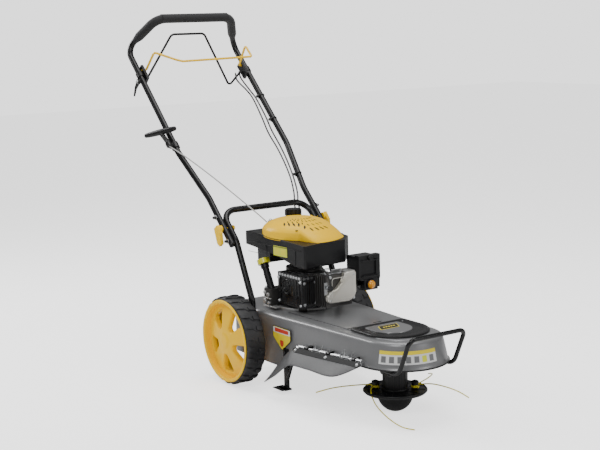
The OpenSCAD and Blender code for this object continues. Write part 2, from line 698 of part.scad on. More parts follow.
// Pivots of the two bails, along the handle and off its plane
yel_s = 696;
yel_n = 8;
blk_s = 672;
blk_n = -4;
wire_r = 3.6;
module bail_housings() {
  color(black) place() on_handle() both() difference() {
    union() {
      translate([-17, -grip_half + tube_r + 0.5, blk_s - 24]) cube([34, 10, 66]);
      translate([0, -grip_half, blk_s - 6]) ring(tube_r + 3, tube_r, 22, 48);
    }
    ycyl(yel_n, yel_s, -300, 300, wire_r + run, 32);
    ycyl(blk_n, blk_s, -300, 300, wire_r + run, 32);
    translate([0, -grip_half, blk_s - 60]) cylinder(h = 120, r = tube_r, $fn = 48);
  }
}
bail_y = grip_half - tube_r - 1;
module throttle_lever() {
  y = -grip_half - tube_r;
  color(black) place() on_handle(652, -6) {
    ycyl(0, 0, y - 8, y - 0.4, 10, 32);
    translate([0, y - 2, 0]) rotate([90, 0, 0]) linear_extrude(5)
      polygon([[-4, 9], [-34, 5], [-66, -10], [-64, -14], [-34, -6], [-4, -9]]);
  }
}
module yellow_bail() {
  y = bail_y;
  color([0.95, 0.72, 0.05]) place() on_handle() bent_tube([[yel_n, -y, yel_s], [yel_n, -y + 18, yel_s],
    [100, -y + 20, 696], [98, -124, 656], [97, -100, 648], [93, y - 12, 660], [98, y - 18, 714],
    [yel_n, y - 18, yel_s], [yel_n, y, yel_s]], [7, 10, 30, 30, 8, 8, 7], wire_r, 12);
}
module black_bail() {
  y = bail_y;
  color(black) place() on_handle() bent_tube([[blk_n, -y, blk_s], [blk_n, -y + 20, blk_s], [108, -97, 776],
    [108, 42, 776], [-68, 172, 662], [blk_n, y - 20, blk_s], [blk_n, y, blk_s]], [9, 24, 24, 9, 9], wire_r, 12);
}
// Rope guide: its ring stands on the outer face of the right-hand tube
guide_s = 330;
guide_n = 12;
guide_y = -262;
module rope_guide() {
  color(black) place() on_handle() difference() {
    union() {
      translate([0, -grip_half, guide_s - 12]) ring(tube_r + 4, tube_r, 24, 48);
      translate([guide_n, guide_y, guide_s - 8]) cylinder(h = 16, r = 10, $fn = 48);
      translate([-3, guide_y + 6, guide_s - 8]) cube([16, 14, 16]);
    }
    translate([guide_n, guide_y, guide_s - 30]) cylinder(h = 60, r = 4, $fn = 32);
    translate([0, -grip_half, guide_s - 60]) cylinder(h = 120, r = tube_r, $fn = 48);
  }
}
module starter_handle() {
  color(black) place() on_handle(guide_s + 8.3, guide_n, guide_y) {
    cylinder(h = 8, r = 7, $fn = 32);
    rod([0, 0, 6], [-9, -2, 58], 7.5);
    // Grip bar of the T, thicker in the middle
    hull() {
      translate([-64, -32, 92]) sphere(r = 7, $fn = 20);
      translate([-10, -2, 60]) sphere(r = 11, $fn = 20);
      translate([44, 28, 28]) sphere(r = 8, $fn = 20);
    }
  }
}
rope_r = 2.4;
route_rope = [[-347, -262, 792], [-300, -220, 752], [-220, -158, 680], [-150, -106, 614],
  [-92, -66, 560], [-60, -46, 530]];
module starter_rope() { color([0.8, 0.8, 0.78]) place() cord(route_rope, rope_r, 3, 8); }
route_cable_a = [[-622, 206, 1030], [-606, 204, 1004], [-558, 212, 960], [-518, 215, 928], [-456, 215, 864], [-411, 213, 811],
  [-353, 212, 755], [-294, 204, 701], [-244, 193, 652], [-210, 183, 615], [-188, 173, 588], [-170, 162, 566]];
route_cable_b = [[-640, 200, 1024], [-622, 196, 996], [-562, 204, 956], [-523, 207, 923], [-465, 206, 856], [-419, 203, 802],
  [-360, 203, 748], [-301, 196, 695], [-250, 185, 647], [-217, 174, 608], [-195, 163, 581], [-180, 152, 562]];
module upper_cables() { color(black) place() { cord(route_cable_a, 3, 3, 8); cord(route_cable_b, 3, 3, 8); } }
route_low_a = [[-158, 160, 550], [-140, 158, 500], [-112, 156, 440], [-76, 156, 390], [-30, 150, 350], [50, 130, 336],
  [130, 108, 342], [185, 84, 354]];
route_low_b = [[-170, 150, 546], [-152, 148, 496], [-124, 146, 436], [-90, 144, 376], [-56, 142, 320], [-34, 138, 284],
  [-22, 134, 266], [-20, 134, 257.5]];
module lower_cables() { color(black) place() { cord(route_low_a, 3, 3, 8); cord(route_low_b, 3, 3, 8); } }

deck_shell();
belt_cover();
nose_bumper();
axle();
axle_brackets();
hinge_brackets();
hinge_rod();
flap_springs();
deflector_flap();
rear_stand();
spindle_housing();
drive_belt();
chassis_bolts();
engine_block();
valve_cover();
blower_housing();
recoil_cover();
fuel_tank();
fuel_cap();
muffler();
muffler_guard();
carburettor();
air_filter_box();
air_filter_cover();
throttle_lever();
primer_bulb();
oil_tube();
dipstick();
crankshaft();
flywheel();
recoil_pulley();
engine_pulley();
idler_arm();
spindle_shaft();
spindle_pulley();
head_drum();
head_disc();
mow_ball();
cut_line(route_left);  // line_left
cut_line(route_front);  // line_front
cut_line(route_right);  // line_right
cut_line(route_rear);  // line_rear
tyre(1);  // tyre_left
rim(1);  // rim_left
bushes(1);  // bushes_left
tyre(-1);  // tyre_right
rim(-1);  // rim_right
bushes(-1);  // bushes_right
lower_handle();
upper_handle();
foam_grip();
cam_levers();
bail_housings();
yellow_bail();
black_bail();
rope_guide();
starter_handle();
starter_rope();
upper_cables();
lower_cables();
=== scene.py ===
"""Looks of a walk-behind wheeled string mower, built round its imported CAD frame.

Metres, +X forward, +Y to the operator's left, +Z up, origin on the ground under the spindle.
"""
import json
import math

import bmesh
import bpy
from mathutils import Matrix, Vector
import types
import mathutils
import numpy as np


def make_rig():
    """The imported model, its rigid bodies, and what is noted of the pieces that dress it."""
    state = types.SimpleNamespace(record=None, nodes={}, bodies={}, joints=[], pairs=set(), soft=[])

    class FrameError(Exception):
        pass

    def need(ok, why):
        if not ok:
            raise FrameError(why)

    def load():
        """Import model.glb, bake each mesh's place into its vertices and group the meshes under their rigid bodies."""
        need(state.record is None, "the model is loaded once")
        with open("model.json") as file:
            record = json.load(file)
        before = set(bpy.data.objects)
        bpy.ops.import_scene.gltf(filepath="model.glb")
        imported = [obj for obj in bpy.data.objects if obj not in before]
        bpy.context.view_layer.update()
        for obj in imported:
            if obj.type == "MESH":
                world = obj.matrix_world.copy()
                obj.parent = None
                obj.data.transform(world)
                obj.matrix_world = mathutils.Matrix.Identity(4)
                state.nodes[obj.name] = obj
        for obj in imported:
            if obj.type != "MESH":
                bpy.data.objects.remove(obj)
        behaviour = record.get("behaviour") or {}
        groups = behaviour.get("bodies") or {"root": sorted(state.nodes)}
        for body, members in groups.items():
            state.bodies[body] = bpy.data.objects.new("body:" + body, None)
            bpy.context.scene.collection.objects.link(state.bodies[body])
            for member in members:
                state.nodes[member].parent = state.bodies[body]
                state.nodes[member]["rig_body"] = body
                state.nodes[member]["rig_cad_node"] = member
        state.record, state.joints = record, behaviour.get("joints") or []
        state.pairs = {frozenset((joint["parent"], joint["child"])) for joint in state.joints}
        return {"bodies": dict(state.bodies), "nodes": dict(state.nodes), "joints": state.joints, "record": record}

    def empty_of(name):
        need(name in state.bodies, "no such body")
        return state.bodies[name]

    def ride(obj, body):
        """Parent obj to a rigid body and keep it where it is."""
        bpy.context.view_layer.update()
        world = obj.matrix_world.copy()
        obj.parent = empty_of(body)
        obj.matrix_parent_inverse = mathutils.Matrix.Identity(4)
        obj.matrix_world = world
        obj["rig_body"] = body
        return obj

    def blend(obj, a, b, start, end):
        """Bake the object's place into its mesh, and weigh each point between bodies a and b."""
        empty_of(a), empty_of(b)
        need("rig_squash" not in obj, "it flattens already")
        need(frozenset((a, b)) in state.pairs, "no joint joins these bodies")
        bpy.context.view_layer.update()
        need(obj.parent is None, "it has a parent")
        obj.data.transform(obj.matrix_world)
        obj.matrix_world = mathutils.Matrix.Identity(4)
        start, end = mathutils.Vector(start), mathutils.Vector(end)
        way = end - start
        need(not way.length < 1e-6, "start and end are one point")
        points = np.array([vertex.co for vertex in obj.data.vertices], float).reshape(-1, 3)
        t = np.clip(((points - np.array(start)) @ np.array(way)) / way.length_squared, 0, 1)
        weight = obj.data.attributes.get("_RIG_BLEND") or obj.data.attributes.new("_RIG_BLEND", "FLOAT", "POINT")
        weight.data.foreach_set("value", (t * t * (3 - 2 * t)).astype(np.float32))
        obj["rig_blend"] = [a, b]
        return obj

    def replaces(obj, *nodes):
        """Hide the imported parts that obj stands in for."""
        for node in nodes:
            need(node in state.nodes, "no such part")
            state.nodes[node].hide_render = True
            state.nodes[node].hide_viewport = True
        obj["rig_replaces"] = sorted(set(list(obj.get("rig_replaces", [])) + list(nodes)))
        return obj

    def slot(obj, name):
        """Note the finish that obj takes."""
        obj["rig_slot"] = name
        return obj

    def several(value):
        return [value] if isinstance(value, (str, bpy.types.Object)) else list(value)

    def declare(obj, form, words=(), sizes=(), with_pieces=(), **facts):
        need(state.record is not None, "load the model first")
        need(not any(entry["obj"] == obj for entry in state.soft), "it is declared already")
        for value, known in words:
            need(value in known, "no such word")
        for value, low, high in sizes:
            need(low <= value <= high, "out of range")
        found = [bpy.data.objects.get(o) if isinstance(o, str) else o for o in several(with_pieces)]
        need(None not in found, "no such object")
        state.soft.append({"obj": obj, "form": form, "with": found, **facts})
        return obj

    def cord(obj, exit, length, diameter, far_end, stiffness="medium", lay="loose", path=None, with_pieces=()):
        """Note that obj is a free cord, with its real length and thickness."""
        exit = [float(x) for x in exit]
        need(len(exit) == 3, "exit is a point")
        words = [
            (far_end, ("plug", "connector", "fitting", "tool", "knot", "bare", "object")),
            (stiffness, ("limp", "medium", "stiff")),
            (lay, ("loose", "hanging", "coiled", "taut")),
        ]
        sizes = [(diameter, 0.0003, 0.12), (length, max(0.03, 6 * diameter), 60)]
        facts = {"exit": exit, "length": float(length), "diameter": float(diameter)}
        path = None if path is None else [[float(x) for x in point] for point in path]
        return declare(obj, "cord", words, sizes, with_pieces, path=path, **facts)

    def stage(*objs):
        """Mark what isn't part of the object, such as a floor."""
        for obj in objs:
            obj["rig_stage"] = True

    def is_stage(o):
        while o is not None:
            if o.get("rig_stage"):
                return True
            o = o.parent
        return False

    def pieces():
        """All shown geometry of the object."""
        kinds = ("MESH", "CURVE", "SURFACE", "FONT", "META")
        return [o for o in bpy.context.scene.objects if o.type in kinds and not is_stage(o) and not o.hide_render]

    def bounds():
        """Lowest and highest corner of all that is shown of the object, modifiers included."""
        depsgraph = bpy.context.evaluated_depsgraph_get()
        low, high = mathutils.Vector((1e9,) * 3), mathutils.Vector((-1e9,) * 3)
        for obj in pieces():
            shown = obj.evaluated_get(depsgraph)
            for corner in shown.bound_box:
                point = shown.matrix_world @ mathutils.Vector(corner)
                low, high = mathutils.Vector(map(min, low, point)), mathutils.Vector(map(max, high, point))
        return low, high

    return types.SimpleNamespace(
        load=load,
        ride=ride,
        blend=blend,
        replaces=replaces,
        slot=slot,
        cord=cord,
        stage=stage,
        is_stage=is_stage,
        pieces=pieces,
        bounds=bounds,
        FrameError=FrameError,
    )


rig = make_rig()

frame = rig.load()
CAD_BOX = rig.bounds()
NODES = frame["nodes"]
AXLE = Vector((-0.588, 0, 0.1525))
LEAN = math.radians(45)
JOINT = Vector((-0.716, 0, 0.556))
UP_TUBE = Vector((-math.sin(LEAN), 0, math.cos(LEAN)))
OFF_TUBE = Vector((math.cos(LEAN), 0, math.sin(LEAN)))


def axle_mm(x, y, z):
    """A point given in millimetres from the ground under the axle, in the row frame."""
    return Vector(((x - 588) / 1000, y / 1000, z / 1000))


def on_handle(s, n, y):
    """A point up the handle by s, off its plane by n and across by y, in millimetres."""
    return JOINT + UP_TUBE * s / 1000 + OFF_TUBE * n / 1000 + Vector((0, y / 1000, 0))


# ---------------------------------------------------------------- camera
def make_camera():
    azimuth, pitch, roll = math.radians(55.9), math.radians(9.18), math.radians(-1.49)
    forward = Vector((-math.sin(azimuth) * math.cos(pitch), math.cos(azimuth) * math.cos(pitch),
                      -math.sin(pitch)))
    right = forward.cross(Vector((0, 0, 1))).normalized()
    up = right.cross(forward)
    side = right * math.cos(roll) + up * math.sin(roll)
    top = up * math.cos(roll) - right * math.sin(roll)
    data = bpy.data.cameras.new("camera")
    data.lens, data.sensor_width = 76.5, 36
    camera = bpy.data.objects.new("camera", data)
    bpy.context.scene.collection.objects.link(camera)
    camera.matrix_world = Matrix((side, top, -forward)).transposed().to_4x4()
    camera.location = (3.052, -2.412, 1.226)
    bpy.context.scene.camera = camera


make_camera()


# ---------------------------------------------------------------- material helpers
def new_material(name):
    mat = bpy.data.materials.new(name)
    mat.use_nodes = True
    tree = mat.node_tree
    return mat, tree, tree.nodes["Principled BSDF"]


def place_texture(tree, kind, scale, stretch=(1, 1, 1), **settings):
    """A texture node in object space, in metres."""
    coords = tree.nodes.new("ShaderNodeTexCoord")
    mapping = tree.nodes.new("ShaderNodeMapping")
    mapping.inputs["Scale"].default_value = stretch
    tree.links.new(coords.outputs["Object"], mapping.inputs["Vector"])
    texture = tree.nodes.new("ShaderNodeTex" + kind)
    tree.links.new(mapping.outputs["Vector"], texture.inputs["Vector"])
    texture.inputs["Scale"].default_value = scale
    for key, value in settings.items():
        texture.inputs[key].default_value = value
    return texture


def ramp(tree, source, stops):
    node = tree.nodes.new("ShaderNodeValToRGB")
    tree.links.new(source, node.inputs["Fac"])
    elements = node.color_ramp.elements
    while len(elements) < len(stops):
        elements.new(0.5)
    for element, (place, colour) in zip(elements, stops):
        element.position = place
        element.color = (*colour, 1) if len(colour) == 3 else colour
    return node.outputs["Color"]


def span(tree, source, low, high):
    node = tree.nodes.new("ShaderNodeMapRange")
    tree.links.new(source, node.inputs["Value"])
    node.inputs["To Min"].default_value = low
    node.inputs["To Max"].default_value = high
    return node.outputs["Result"]


def mix(tree, factor, a, b, mode="MIX"):
    """Mixes two colours; each is a socket or a tuple, and factor is a socket or a number."""
    node = tree.nodes.new("ShaderNodeMix")
    node.data_type, node.blend_type = "RGBA", mode
    for index, value in ((0, factor), (6, a), (7, b)):
        if hasattr(value, "is_linked"):
            tree.links.new(value, node.inputs[index])
        else:
            node.inputs[index].default_value = value if index == 0 else (*value, 1)
    return node.outputs[2]


def bump(tree, shader, height, distance, strength=1.0):
    node = tree.nodes.new("ShaderNodeBump")
    node.inputs["Distance"].default_value = distance
    node.inputs["Strength"].default_value = strength
    tree.links.new(height, node.inputs["Height"])
    before = shader.inputs["Normal"].links
    if before:
        tree.links.new(before[0].from_socket, node.inputs["Normal"])
    tree.links.new(node.outputs["Normal"], shader.inputs["Normal"])


def worn_and_highlit_edge_mask(tree, sharp=0.06):
    """White on convex edges: partly edge wear, partly a painted highlight along them."""
    geometry = tree.nodes.new("ShaderNodeNewGeometry")
    return ramp(tree, geometry.outputs["Pointiness"],
                [(0.5 + sharp * 0.5, (0, 0, 0)), (0.5 + sharp * 2, (1, 1, 1))])


def finish_material(name, colour, dark, rough, grain, depth, metal=0.0, edge_wear_and_highlight=None, coat=0.0,
                    patch=9.0, specular=0.5, grain_kind="Noise", dust=0.0):
    """A worn solid finish: patchy colour and gloss, fine grain, brighter edges that are part edge wear and part
    painted highlight, and dust on top.
    """
    mat, tree, shader = new_material(name)
    cloud = place_texture(tree, "Noise", patch, Detail=5.0, Roughness=0.6)
    fine = place_texture(tree, grain_kind, grain)
    if grain_kind == "Noise":
        fine.inputs["Detail"].default_value = 4
    base = mix(tree, cloud.outputs[0], dark, colour)
    # Brighter convex edges: part edge wear, part painted highlight
    if edge_wear_and_highlight:
        base = mix(tree, worn_and_highlit_edge_mask(tree), base, edge_wear_and_highlight)
    if dust:
        geometry = tree.nodes.new("ShaderNodeNewGeometry")
        split = tree.nodes.new("ShaderNodeSeparateXYZ")
        tree.links.new(geometry.outputs["Normal"], split.inputs["Vector"])
        up = span(tree, split.outputs["Z"], -dust, dust)
        base = mix(tree, up, base, (0.34, 0.31, 0.27))
    tree.links.new(base, shader.inputs["Base Color"])
    tree.links.new(span(tree, cloud.outputs[0], rough - 0.09, rough + 0.09), shader.inputs["Roughness"])
    shader.inputs["Metallic"].default_value = metal
    shader.inputs["Specular IOR Level"].default_value = specular
    shader.inputs["Coat Weight"].default_value = coat
    shader.inputs["Coat Roughness"].default_value = 0.12
    bump(tree, shader, fine.outputs[0], depth)
    return mat


def deck_paint():
    """Metallic grey powder coat: sparkle, orange peel and faint scuffs."""
    mat, tree, shader = new_material("deck_paint")
    flake = place_texture(tree, "Voronoi", 1900)
    cloud = place_texture(tree, "Noise", 5, Detail=4.0)
    peel = place_texture(tree, "Noise", 420, Detail=2.0)
    scuff = place_texture(tree, "Noise", 38, (1, 6, 2), Detail=8.0, Roughness=0.7)
    sparkle = mix(tree, flake.outputs["Color"], (0.145, 0.147, 0.15), (0.235, 0.235, 0.24))
    tone = mix(tree, cloud.outputs[0], sparkle, (0.18, 0.181, 0.186))
    marks = ramp(tree, scuff.outputs[0], [(0.66, (0, 0, 0)), (0.74, (0.4, 0.4, 0.4))])
    tree.links.new(mix(tree, marks, tone, (0.3, 0.3, 0.3)), shader.inputs["Base Color"])
    tree.links.new(span(tree, cloud.outputs[0], 0.32, 0.46), shader.inputs["Roughness"])
    shader.inputs["Metallic"].default_value = 0.35
    shader.inputs["Coat Weight"].default_value = 0.35
    shader.inputs["Coat Roughness"].default_value = 0.16
    bump(tree, shader, peel.outputs[0], 0.00035, 0.5)
    return mat


def rubber():
    """Tyre rubber: mottled, slightly dusty, with moulding grain."""
    mat, tree, shader = new_material("tyre_rubber")
    cloud = place_texture(tree, "Noise", 26, Detail=7.0, Roughness=0.65)
    grain = place_texture(tree, "Noise", 700, Detail=3.0)
    tone = ramp(tree, cloud.outputs[0],
                [(0.3, (0.010, 0.010, 0.011)), (0.6, (0.022, 0.022, 0.024)), (0.8, (0.05, 0.048, 0.045))])
    tree.links.new(tone, shader.inputs["Base Color"])
    tree.links.new(span(tree, cloud.outputs[0], 0.42, 0.68), shader.inputs["Roughness"])
    bump(tree, shader, grain.outputs[0], 0.0006, 0.5)
    bump(tree, shader, cloud.outputs[0], 0.0012, 0.3)
    return mat


def foam():
    mat, tree, shader = new_material("grip_foam")
    cells = place_texture(tree, "Voronoi", 620)
    cloud = place_texture(tree, "Noise", 30, Detail=3.0)
    tone = mix(tree, cells.outputs["Distance"], (0.006, 0.006, 0.007), (0.026, 0.026, 0.028))
    tree.links.new(mix(tree, cloud.outputs[0], tone, (0.012, 0.012, 0.013)), shader.inputs["Base Color"])
    shader.inputs["Roughness"].default_value = 0.82
    shader.inputs["Sheen Weight"].default_value = 0.25
    shader.inputs["Sheen Roughness"].default_value = 0.4
    bump(tree, shader, cells.outputs["Distance"], 0.0008, 0.7)
    return mat


def braided():
    """Rope: two crossing waves that read as a braid."""
    mat, tree, shader = new_material("rope_braid")
    one = place_texture(tree, "Wave", 90, (1, 1, 1))
    two = place_texture(tree, "Wave", 90, (1, -1, 1))
    tone = mix(tree, one.outputs[0], (0.44, 0.44, 0.43), (0.72, 0.72, 0.70))
    tree.links.new(mix(tree, two.outputs[0], tone, (0.6, 0.6, 0.59)), shader.inputs["Base Color"])
    shader.inputs["Roughness"].default_value = 0.85
    bump(tree, shader, one.outputs[0], 0.0006)
    bump(tree, shader, two.outputs[0], 0.0006)
    return mat


def cast_metal(name, light, dark, rough, coarse=340, edge=(0.85, 0.85, 0.84)):
    mat, tree, shader = new_material(name)
    cast = place_texture(tree, "Noise", coarse, Detail=6.0, Roughness=0.7)
    cloud = place_texture(tree, "Noise", 14, Detail=5.0)
    tone = mix(tree, cloud.outputs[0], dark, light)
    # Brighter convex edges: part wear, part painted highlight
    tree.links.new(mix(tree, worn_and_highlit_edge_mask(tree), tone, edge), shader.inputs["Base Color"])
    tree.links.new(span(tree, cast.outputs[0], rough - 0.1, rough + 0.12), shader.inputs["Roughness"])
    shader.inputs["Metallic"].default_value = 0.85
    bump(tree, shader, cast.outputs[0], 0.0011, 0.6)
    return mat


def steel(name="zinc_steel", tone=(0.62, 0.63, 0.64), rough=0.28):
    mat, tree, shader = new_material(name)
    lines = place_texture(tree, "Noise", 60, (1, 30, 30), Detail=6.0)
    cloud = place_texture(tree, "Noise", 40, Detail=3.0)
    low = tuple(c * 0.72 for c in tone)
    tree.links.new(mix(tree, cloud.outputs[0], low, tone), shader.inputs["Base Color"])
    tree.links.new(span(tree, lines.outputs[0], rough - 0.08, rough + 0.14), shader.inputs["Roughness"])
    shader.inputs["Metallic"].default_value = 1.0
    bump(tree, shader, lines.outputs[0], 0.0002, 0.4)
    return mat


def exhaust():
    """Heat-stained sheet: brown and straw tints over dull steel."""
    mat, tree, shader = new_material("exhaust_steel")
    cloud = place_texture(tree, "Noise", 22, Detail=8.0, Roughness=0.7)
    tone = ramp(tree, cloud.outputs[0],
                [(0.3, (0.07, 0.055, 0.045)), (0.5, (0.22, 0.17, 0.12)), (0.7, (0.36, 0.33, 0.30))])
    tree.links.new(tone, shader.inputs["Base Color"])
    shader.inputs["Metallic"].default_value = 0.8
    shader.inputs["Roughness"].default_value = 0.5
    bump(tree, shader, cloud.outputs[0], 0.0008, 0.5)
    return mat


def amber():
    mat, tree, shader = new_material("amber_rubber")
    cloud = place_texture(tree, "Noise", 60, Detail=3.0)
    tree.links.new(mix(tree, cloud.outputs[0], (0.72, 0.24, 0.005), (0.95, 0.42, 0.015)),
                   shader.inputs["Base Color"])
    shader.inputs["Roughness"].default_value = 0.22
    shader.inputs["Subsurface Weight"].default_value = 0.3
    shader.inputs["Subsurface Radius"].default_value = (0.01, 0.004, 0.001)
    shader.inputs["Coat Weight"].default_value = 0.4
    bump(tree, shader, cloud.outputs[0], 0.0004, 0.4)
    return mat


MAT = {
    "deck_paint": deck_paint(),
    "black_paint": finish_material("black_powder", (0.006, 0.006, 0.0065), (0.0035, 0.0035, 0.004), 0.25, 500,
                                   0.0003, edge_wear_and_highlight=(0.016, 0.016, 0.017), specular=0.35),
    "foam": foam(),
    "engine_alloy": cast_metal("cast_alloy", (0.60, 0.60, 0.59), (0.36, 0.36, 0.36), 0.42),
    # Near-black alloy for the engine block: painted shade, darker than the casting's own colour
    "block_alloy": cast_metal("block_alloy", (0.07, 0.068, 0.065), (0.02, 0.02, 0.02), 0.5,
                              edge=(0.15, 0.145, 0.14)),
    "cover_alloy": cast_metal("cover_alloy", (0.66, 0.63, 0.55), (0.50, 0.47, 0.40), 0.34, 520),
    "steel": steel(),
    "shroud_plastic": finish_material("shroud_plastic", (0.008, 0.008, 0.009), (0.005, 0.005, 0.0055), 0.36,
                                      900, 0.0004, edge_wear_and_highlight=(0.018, 0.018, 0.019), specular=0.3),
    "yellow_plastic": finish_material("yellow_plastic", (1.0, 0.61, 0.0), (0.97, 0.56, 0.0), 0.34, 700,
                                      0.00025, edge_wear_and_highlight=(1.0, 0.66, 0.002), patch=5, specular=0.22),
    "bright_yellow": finish_material("lemon_plastic", (0.80, 0.74, 0.012), (0.70, 0.66, 0.01), 0.3, 800,
                                     0.0002, coat=0.3),
    "amber": amber(),
    "tyre": rubber(),
    "line": finish_material("nylon_line", (0.86, 0.74, 0.03), (0.72, 0.60, 0.02), 0.3, 260, 0.0003, coat=0.3,
                            patch=60),
    "rope": braided(),
    "cable": finish_material("cable_sheath", (0.014, 0.014, 0.015), (0.008, 0.008, 0.009), 0.3, 600, 0.0003,
                             coat=0.2, patch=40),
    "bail_yellow": finish_material("bail_coat", (1.0, 0.62, 0.0), (0.95, 0.56, 0.0), 0.28, 300, 0.0003,
                                   edge_wear_and_highlight=(0.95, 0.62, 0.05), coat=0.4, patch=30),
    "exhaust": exhaust(),
    "belt": finish_material("belt_rubber", (0.02, 0.02, 0.021), (0.012, 0.012, 0.012), 0.75, 500, 0.0007),
    "bush_plastic": finish_material("bush_plastic", (0.07, 0.07, 0.072), (0.04, 0.04, 0.042), 0.5, 700,
                                    0.0004),
    "pale_foil": finish_material("label_foil", (0.78, 0.78, 0.77), (0.66, 0.66, 0.66), 0.32, 900, 0.00008,
                                 coat=0.3),
    "label_yellow": finish_material("label_yellow", (0.86, 0.70, 0.02), (0.78, 0.60, 0.02), 0.35, 900,
                                    0.00008, coat=0.3),
    "label_red": finish_material("label_red", (0.62, 0.06, 0.03), (0.5, 0.04, 0.02), 0.35, 900, 0.00008,
                                 coat=0.3),
    "label_lime": finish_material("label_lime", (0.70, 0.74, 0.03), (0.62, 0.66, 0.03), 0.35, 900, 0.00008,
                                  coat=0.3),
    # Near-black: print on the labels and lozenge, and painted shade in slots, louvres and the dome's seam
    "dark_recess": finish_material("dark_recess", (0.008, 0.008, 0.008), (0.004, 0.004, 0.004), 0.7, 500,
                                   0.0004),
    "flap_rubber": finish_material("flap_paint", (0.075, 0.076, 0.079), (0.055, 0.056, 0.058), 0.45, 600,
                                   0.0004, edge_wear_and_highlight=(0.16, 0.16, 0.16)),
}
SLOT_OF = {s["node"]: s["material_slot"] for s in frame["record"]["subparts"]}


def dress_nodes():
    """Gives every CAD node its own slot's finish."""
    for name, node in NODES.items():
        node.data.materials.clear()
        key = "flap_rubber" if name == "deflector_flap" else SLOT_OF[name]
        node.data.materials.append(MAT[key])


dress_nodes()


# ---------------------------------------------------------------- mesh helpers
def add_object(name, bm, material, body, slot=None, smooth=40, bevel=0.0, segments=2, subsurf=0):
    """Turns bm into a piece that rides on body, with smooth shading below an angle."""
    bmesh.ops.remove_doubles(bm, verts=bm.verts, dist=1e-7)
    bmesh.ops.recalc_face_normals(bm, faces=bm.faces)
    mesh = bpy.data.meshes.new(name)
    bm.to_mesh(mesh)
    bm.free()
    obj = bpy.data.objects.new(name, mesh)
    bpy.context.scene.collection.objects.link(obj)
    mesh.materials.append(MAT[material] if isinstance(material, str) else material)
    if bevel:
        modifier = obj.modifiers.new("bevel", "BEVEL")
        modifier.width, modifier.segments = bevel, segments
        modifier.limit_method, modifier.angle_limit = "ANGLE", math.radians(35)
    if subsurf:
        modifier = obj.modifiers.new("subdivide", "SUBSURF")
        modifier.levels = modifier.render_levels = subsurf
    mesh.shade_smooth()
    if smooth < 180:
        mesh.set_sharp_from_angle(angle=math.radians(smooth))
    if body:
        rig.ride(obj, body)
    slots = {m["slot"] for m in frame["record"]["materials"]}
    wanted = slot or (material if isinstance(material, str) else None)
    if wanted in slots:
        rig.slot(obj, wanted)
    return obj


def add_box(bm, low, high, turn=None):
    """An axis-aligned box, or one turned by a matrix about its own centre."""
    low, high = Vector(low), Vector(high)
    made = bmesh.ops.create_cube(bm, size=1)["verts"]
    centre, size = (low + high) / 2, high - low
    matrix = Matrix.Translation(centre) @ (turn.to_4x4() if turn else Matrix.Identity(4)) @ Matrix.Diagonal((*size, 1))
    bmesh.ops.transform(bm, matrix=matrix, verts=made)
    return made


def frame_along(direction, hint=Vector((0, 0, 1))):
    """A rotation whose Z runs along direction."""
    z = Vector(direction).normalized()
    if abs(z.dot(hint)) > 0.98:
        hint = Vector((1, 0, 0))
    x = hint.cross(z).normalized()
    return Matrix((x, z.cross(x), z)).transposed()


def lathe(bm, profile, origin, axis, steps=64, closed=False):
    """Revolves (radius, height) pairs about an axis through origin."""
    turn = frame_along(axis)
    rings = []
    for radius, height in profile:
        if radius < 1e-7:
            rings.append([bm.verts.new(Vector(origin) + turn @ Vector((0, 0, height)))])
            continue
        ring = []
        for i in range(steps):
            a = 2 * math.pi * i / steps
            ring.append(bm.verts.new(Vector(origin) + turn @ Vector((radius * math.cos(a),
                    radius * math.sin(a), height))))
        rings.append(ring)
    pairs = list(zip(rings, rings[1:] + rings[:1])) if closed else list(zip(rings, rings[1:]))
    for one, two in pairs:
        for i in range(steps):
            j = (i + 1) % steps
            corners = [one[i % len(one)], one[j % len(one)], two[j % len(two)], two[i % len(two)]]
            corners = list(dict.fromkeys(corners))
            if len(corners) > 2:
                bm.faces.new(corners)
    return rings


def bridge(bm, loops):
    """Faces between each closed loop of vertices and the next one."""
    for one, two in zip(loops, loops[1:]):
        for i in range(len(one)):
            j = (i + 1) % len(one)
            bm.faces.new((one[i], one[j], two[j], two[i]))


def rounded(points, radii, step=12):
    """Points along straight runs with a round bend of its own radius at each inner corner."""
    out = [points[0]]
    for p, q, r, radius in zip(points, points[1:], points[2:], radii):
        a, b = (p - q).normalized(), (r - q).normalized()
        turn = math.pi - a.angle(b)
        if turn < 1e-3:
            out.append(q)
            continue
        centre = q + (a + b).normalized() * radius / math.cos(turn / 2)
        ex = (q + a * radius * math.tan(turn / 2) - centre).normalized()
        count = max(2, math.ceil(math.degrees(turn) / step))
        out += [centre + radius * (math.cos(turn * k / count) * ex - math.sin(turn * k / count) * a)
                for k in range(count + 1)]
    out.append(points[-1])
    return out


def smooth_route(points, steps):
    """Catmull-Rom curve through the points."""
    out = []
    last = len(points) - 1
    for i in range(last):
        a, b, c, d = (points[max(0, min(last, i + k))] for k in (-1, 0, 1, 2))
        for j in range(steps):
            t = j / steps
            out.append(0.5 * (2 * b + (c - a) * t + (2 * a - 5 * b + 4 * c - d) * t * t + (3 * b - a - 3 * c + d) * t ** 3))
    out.append(points[-1])
    return out


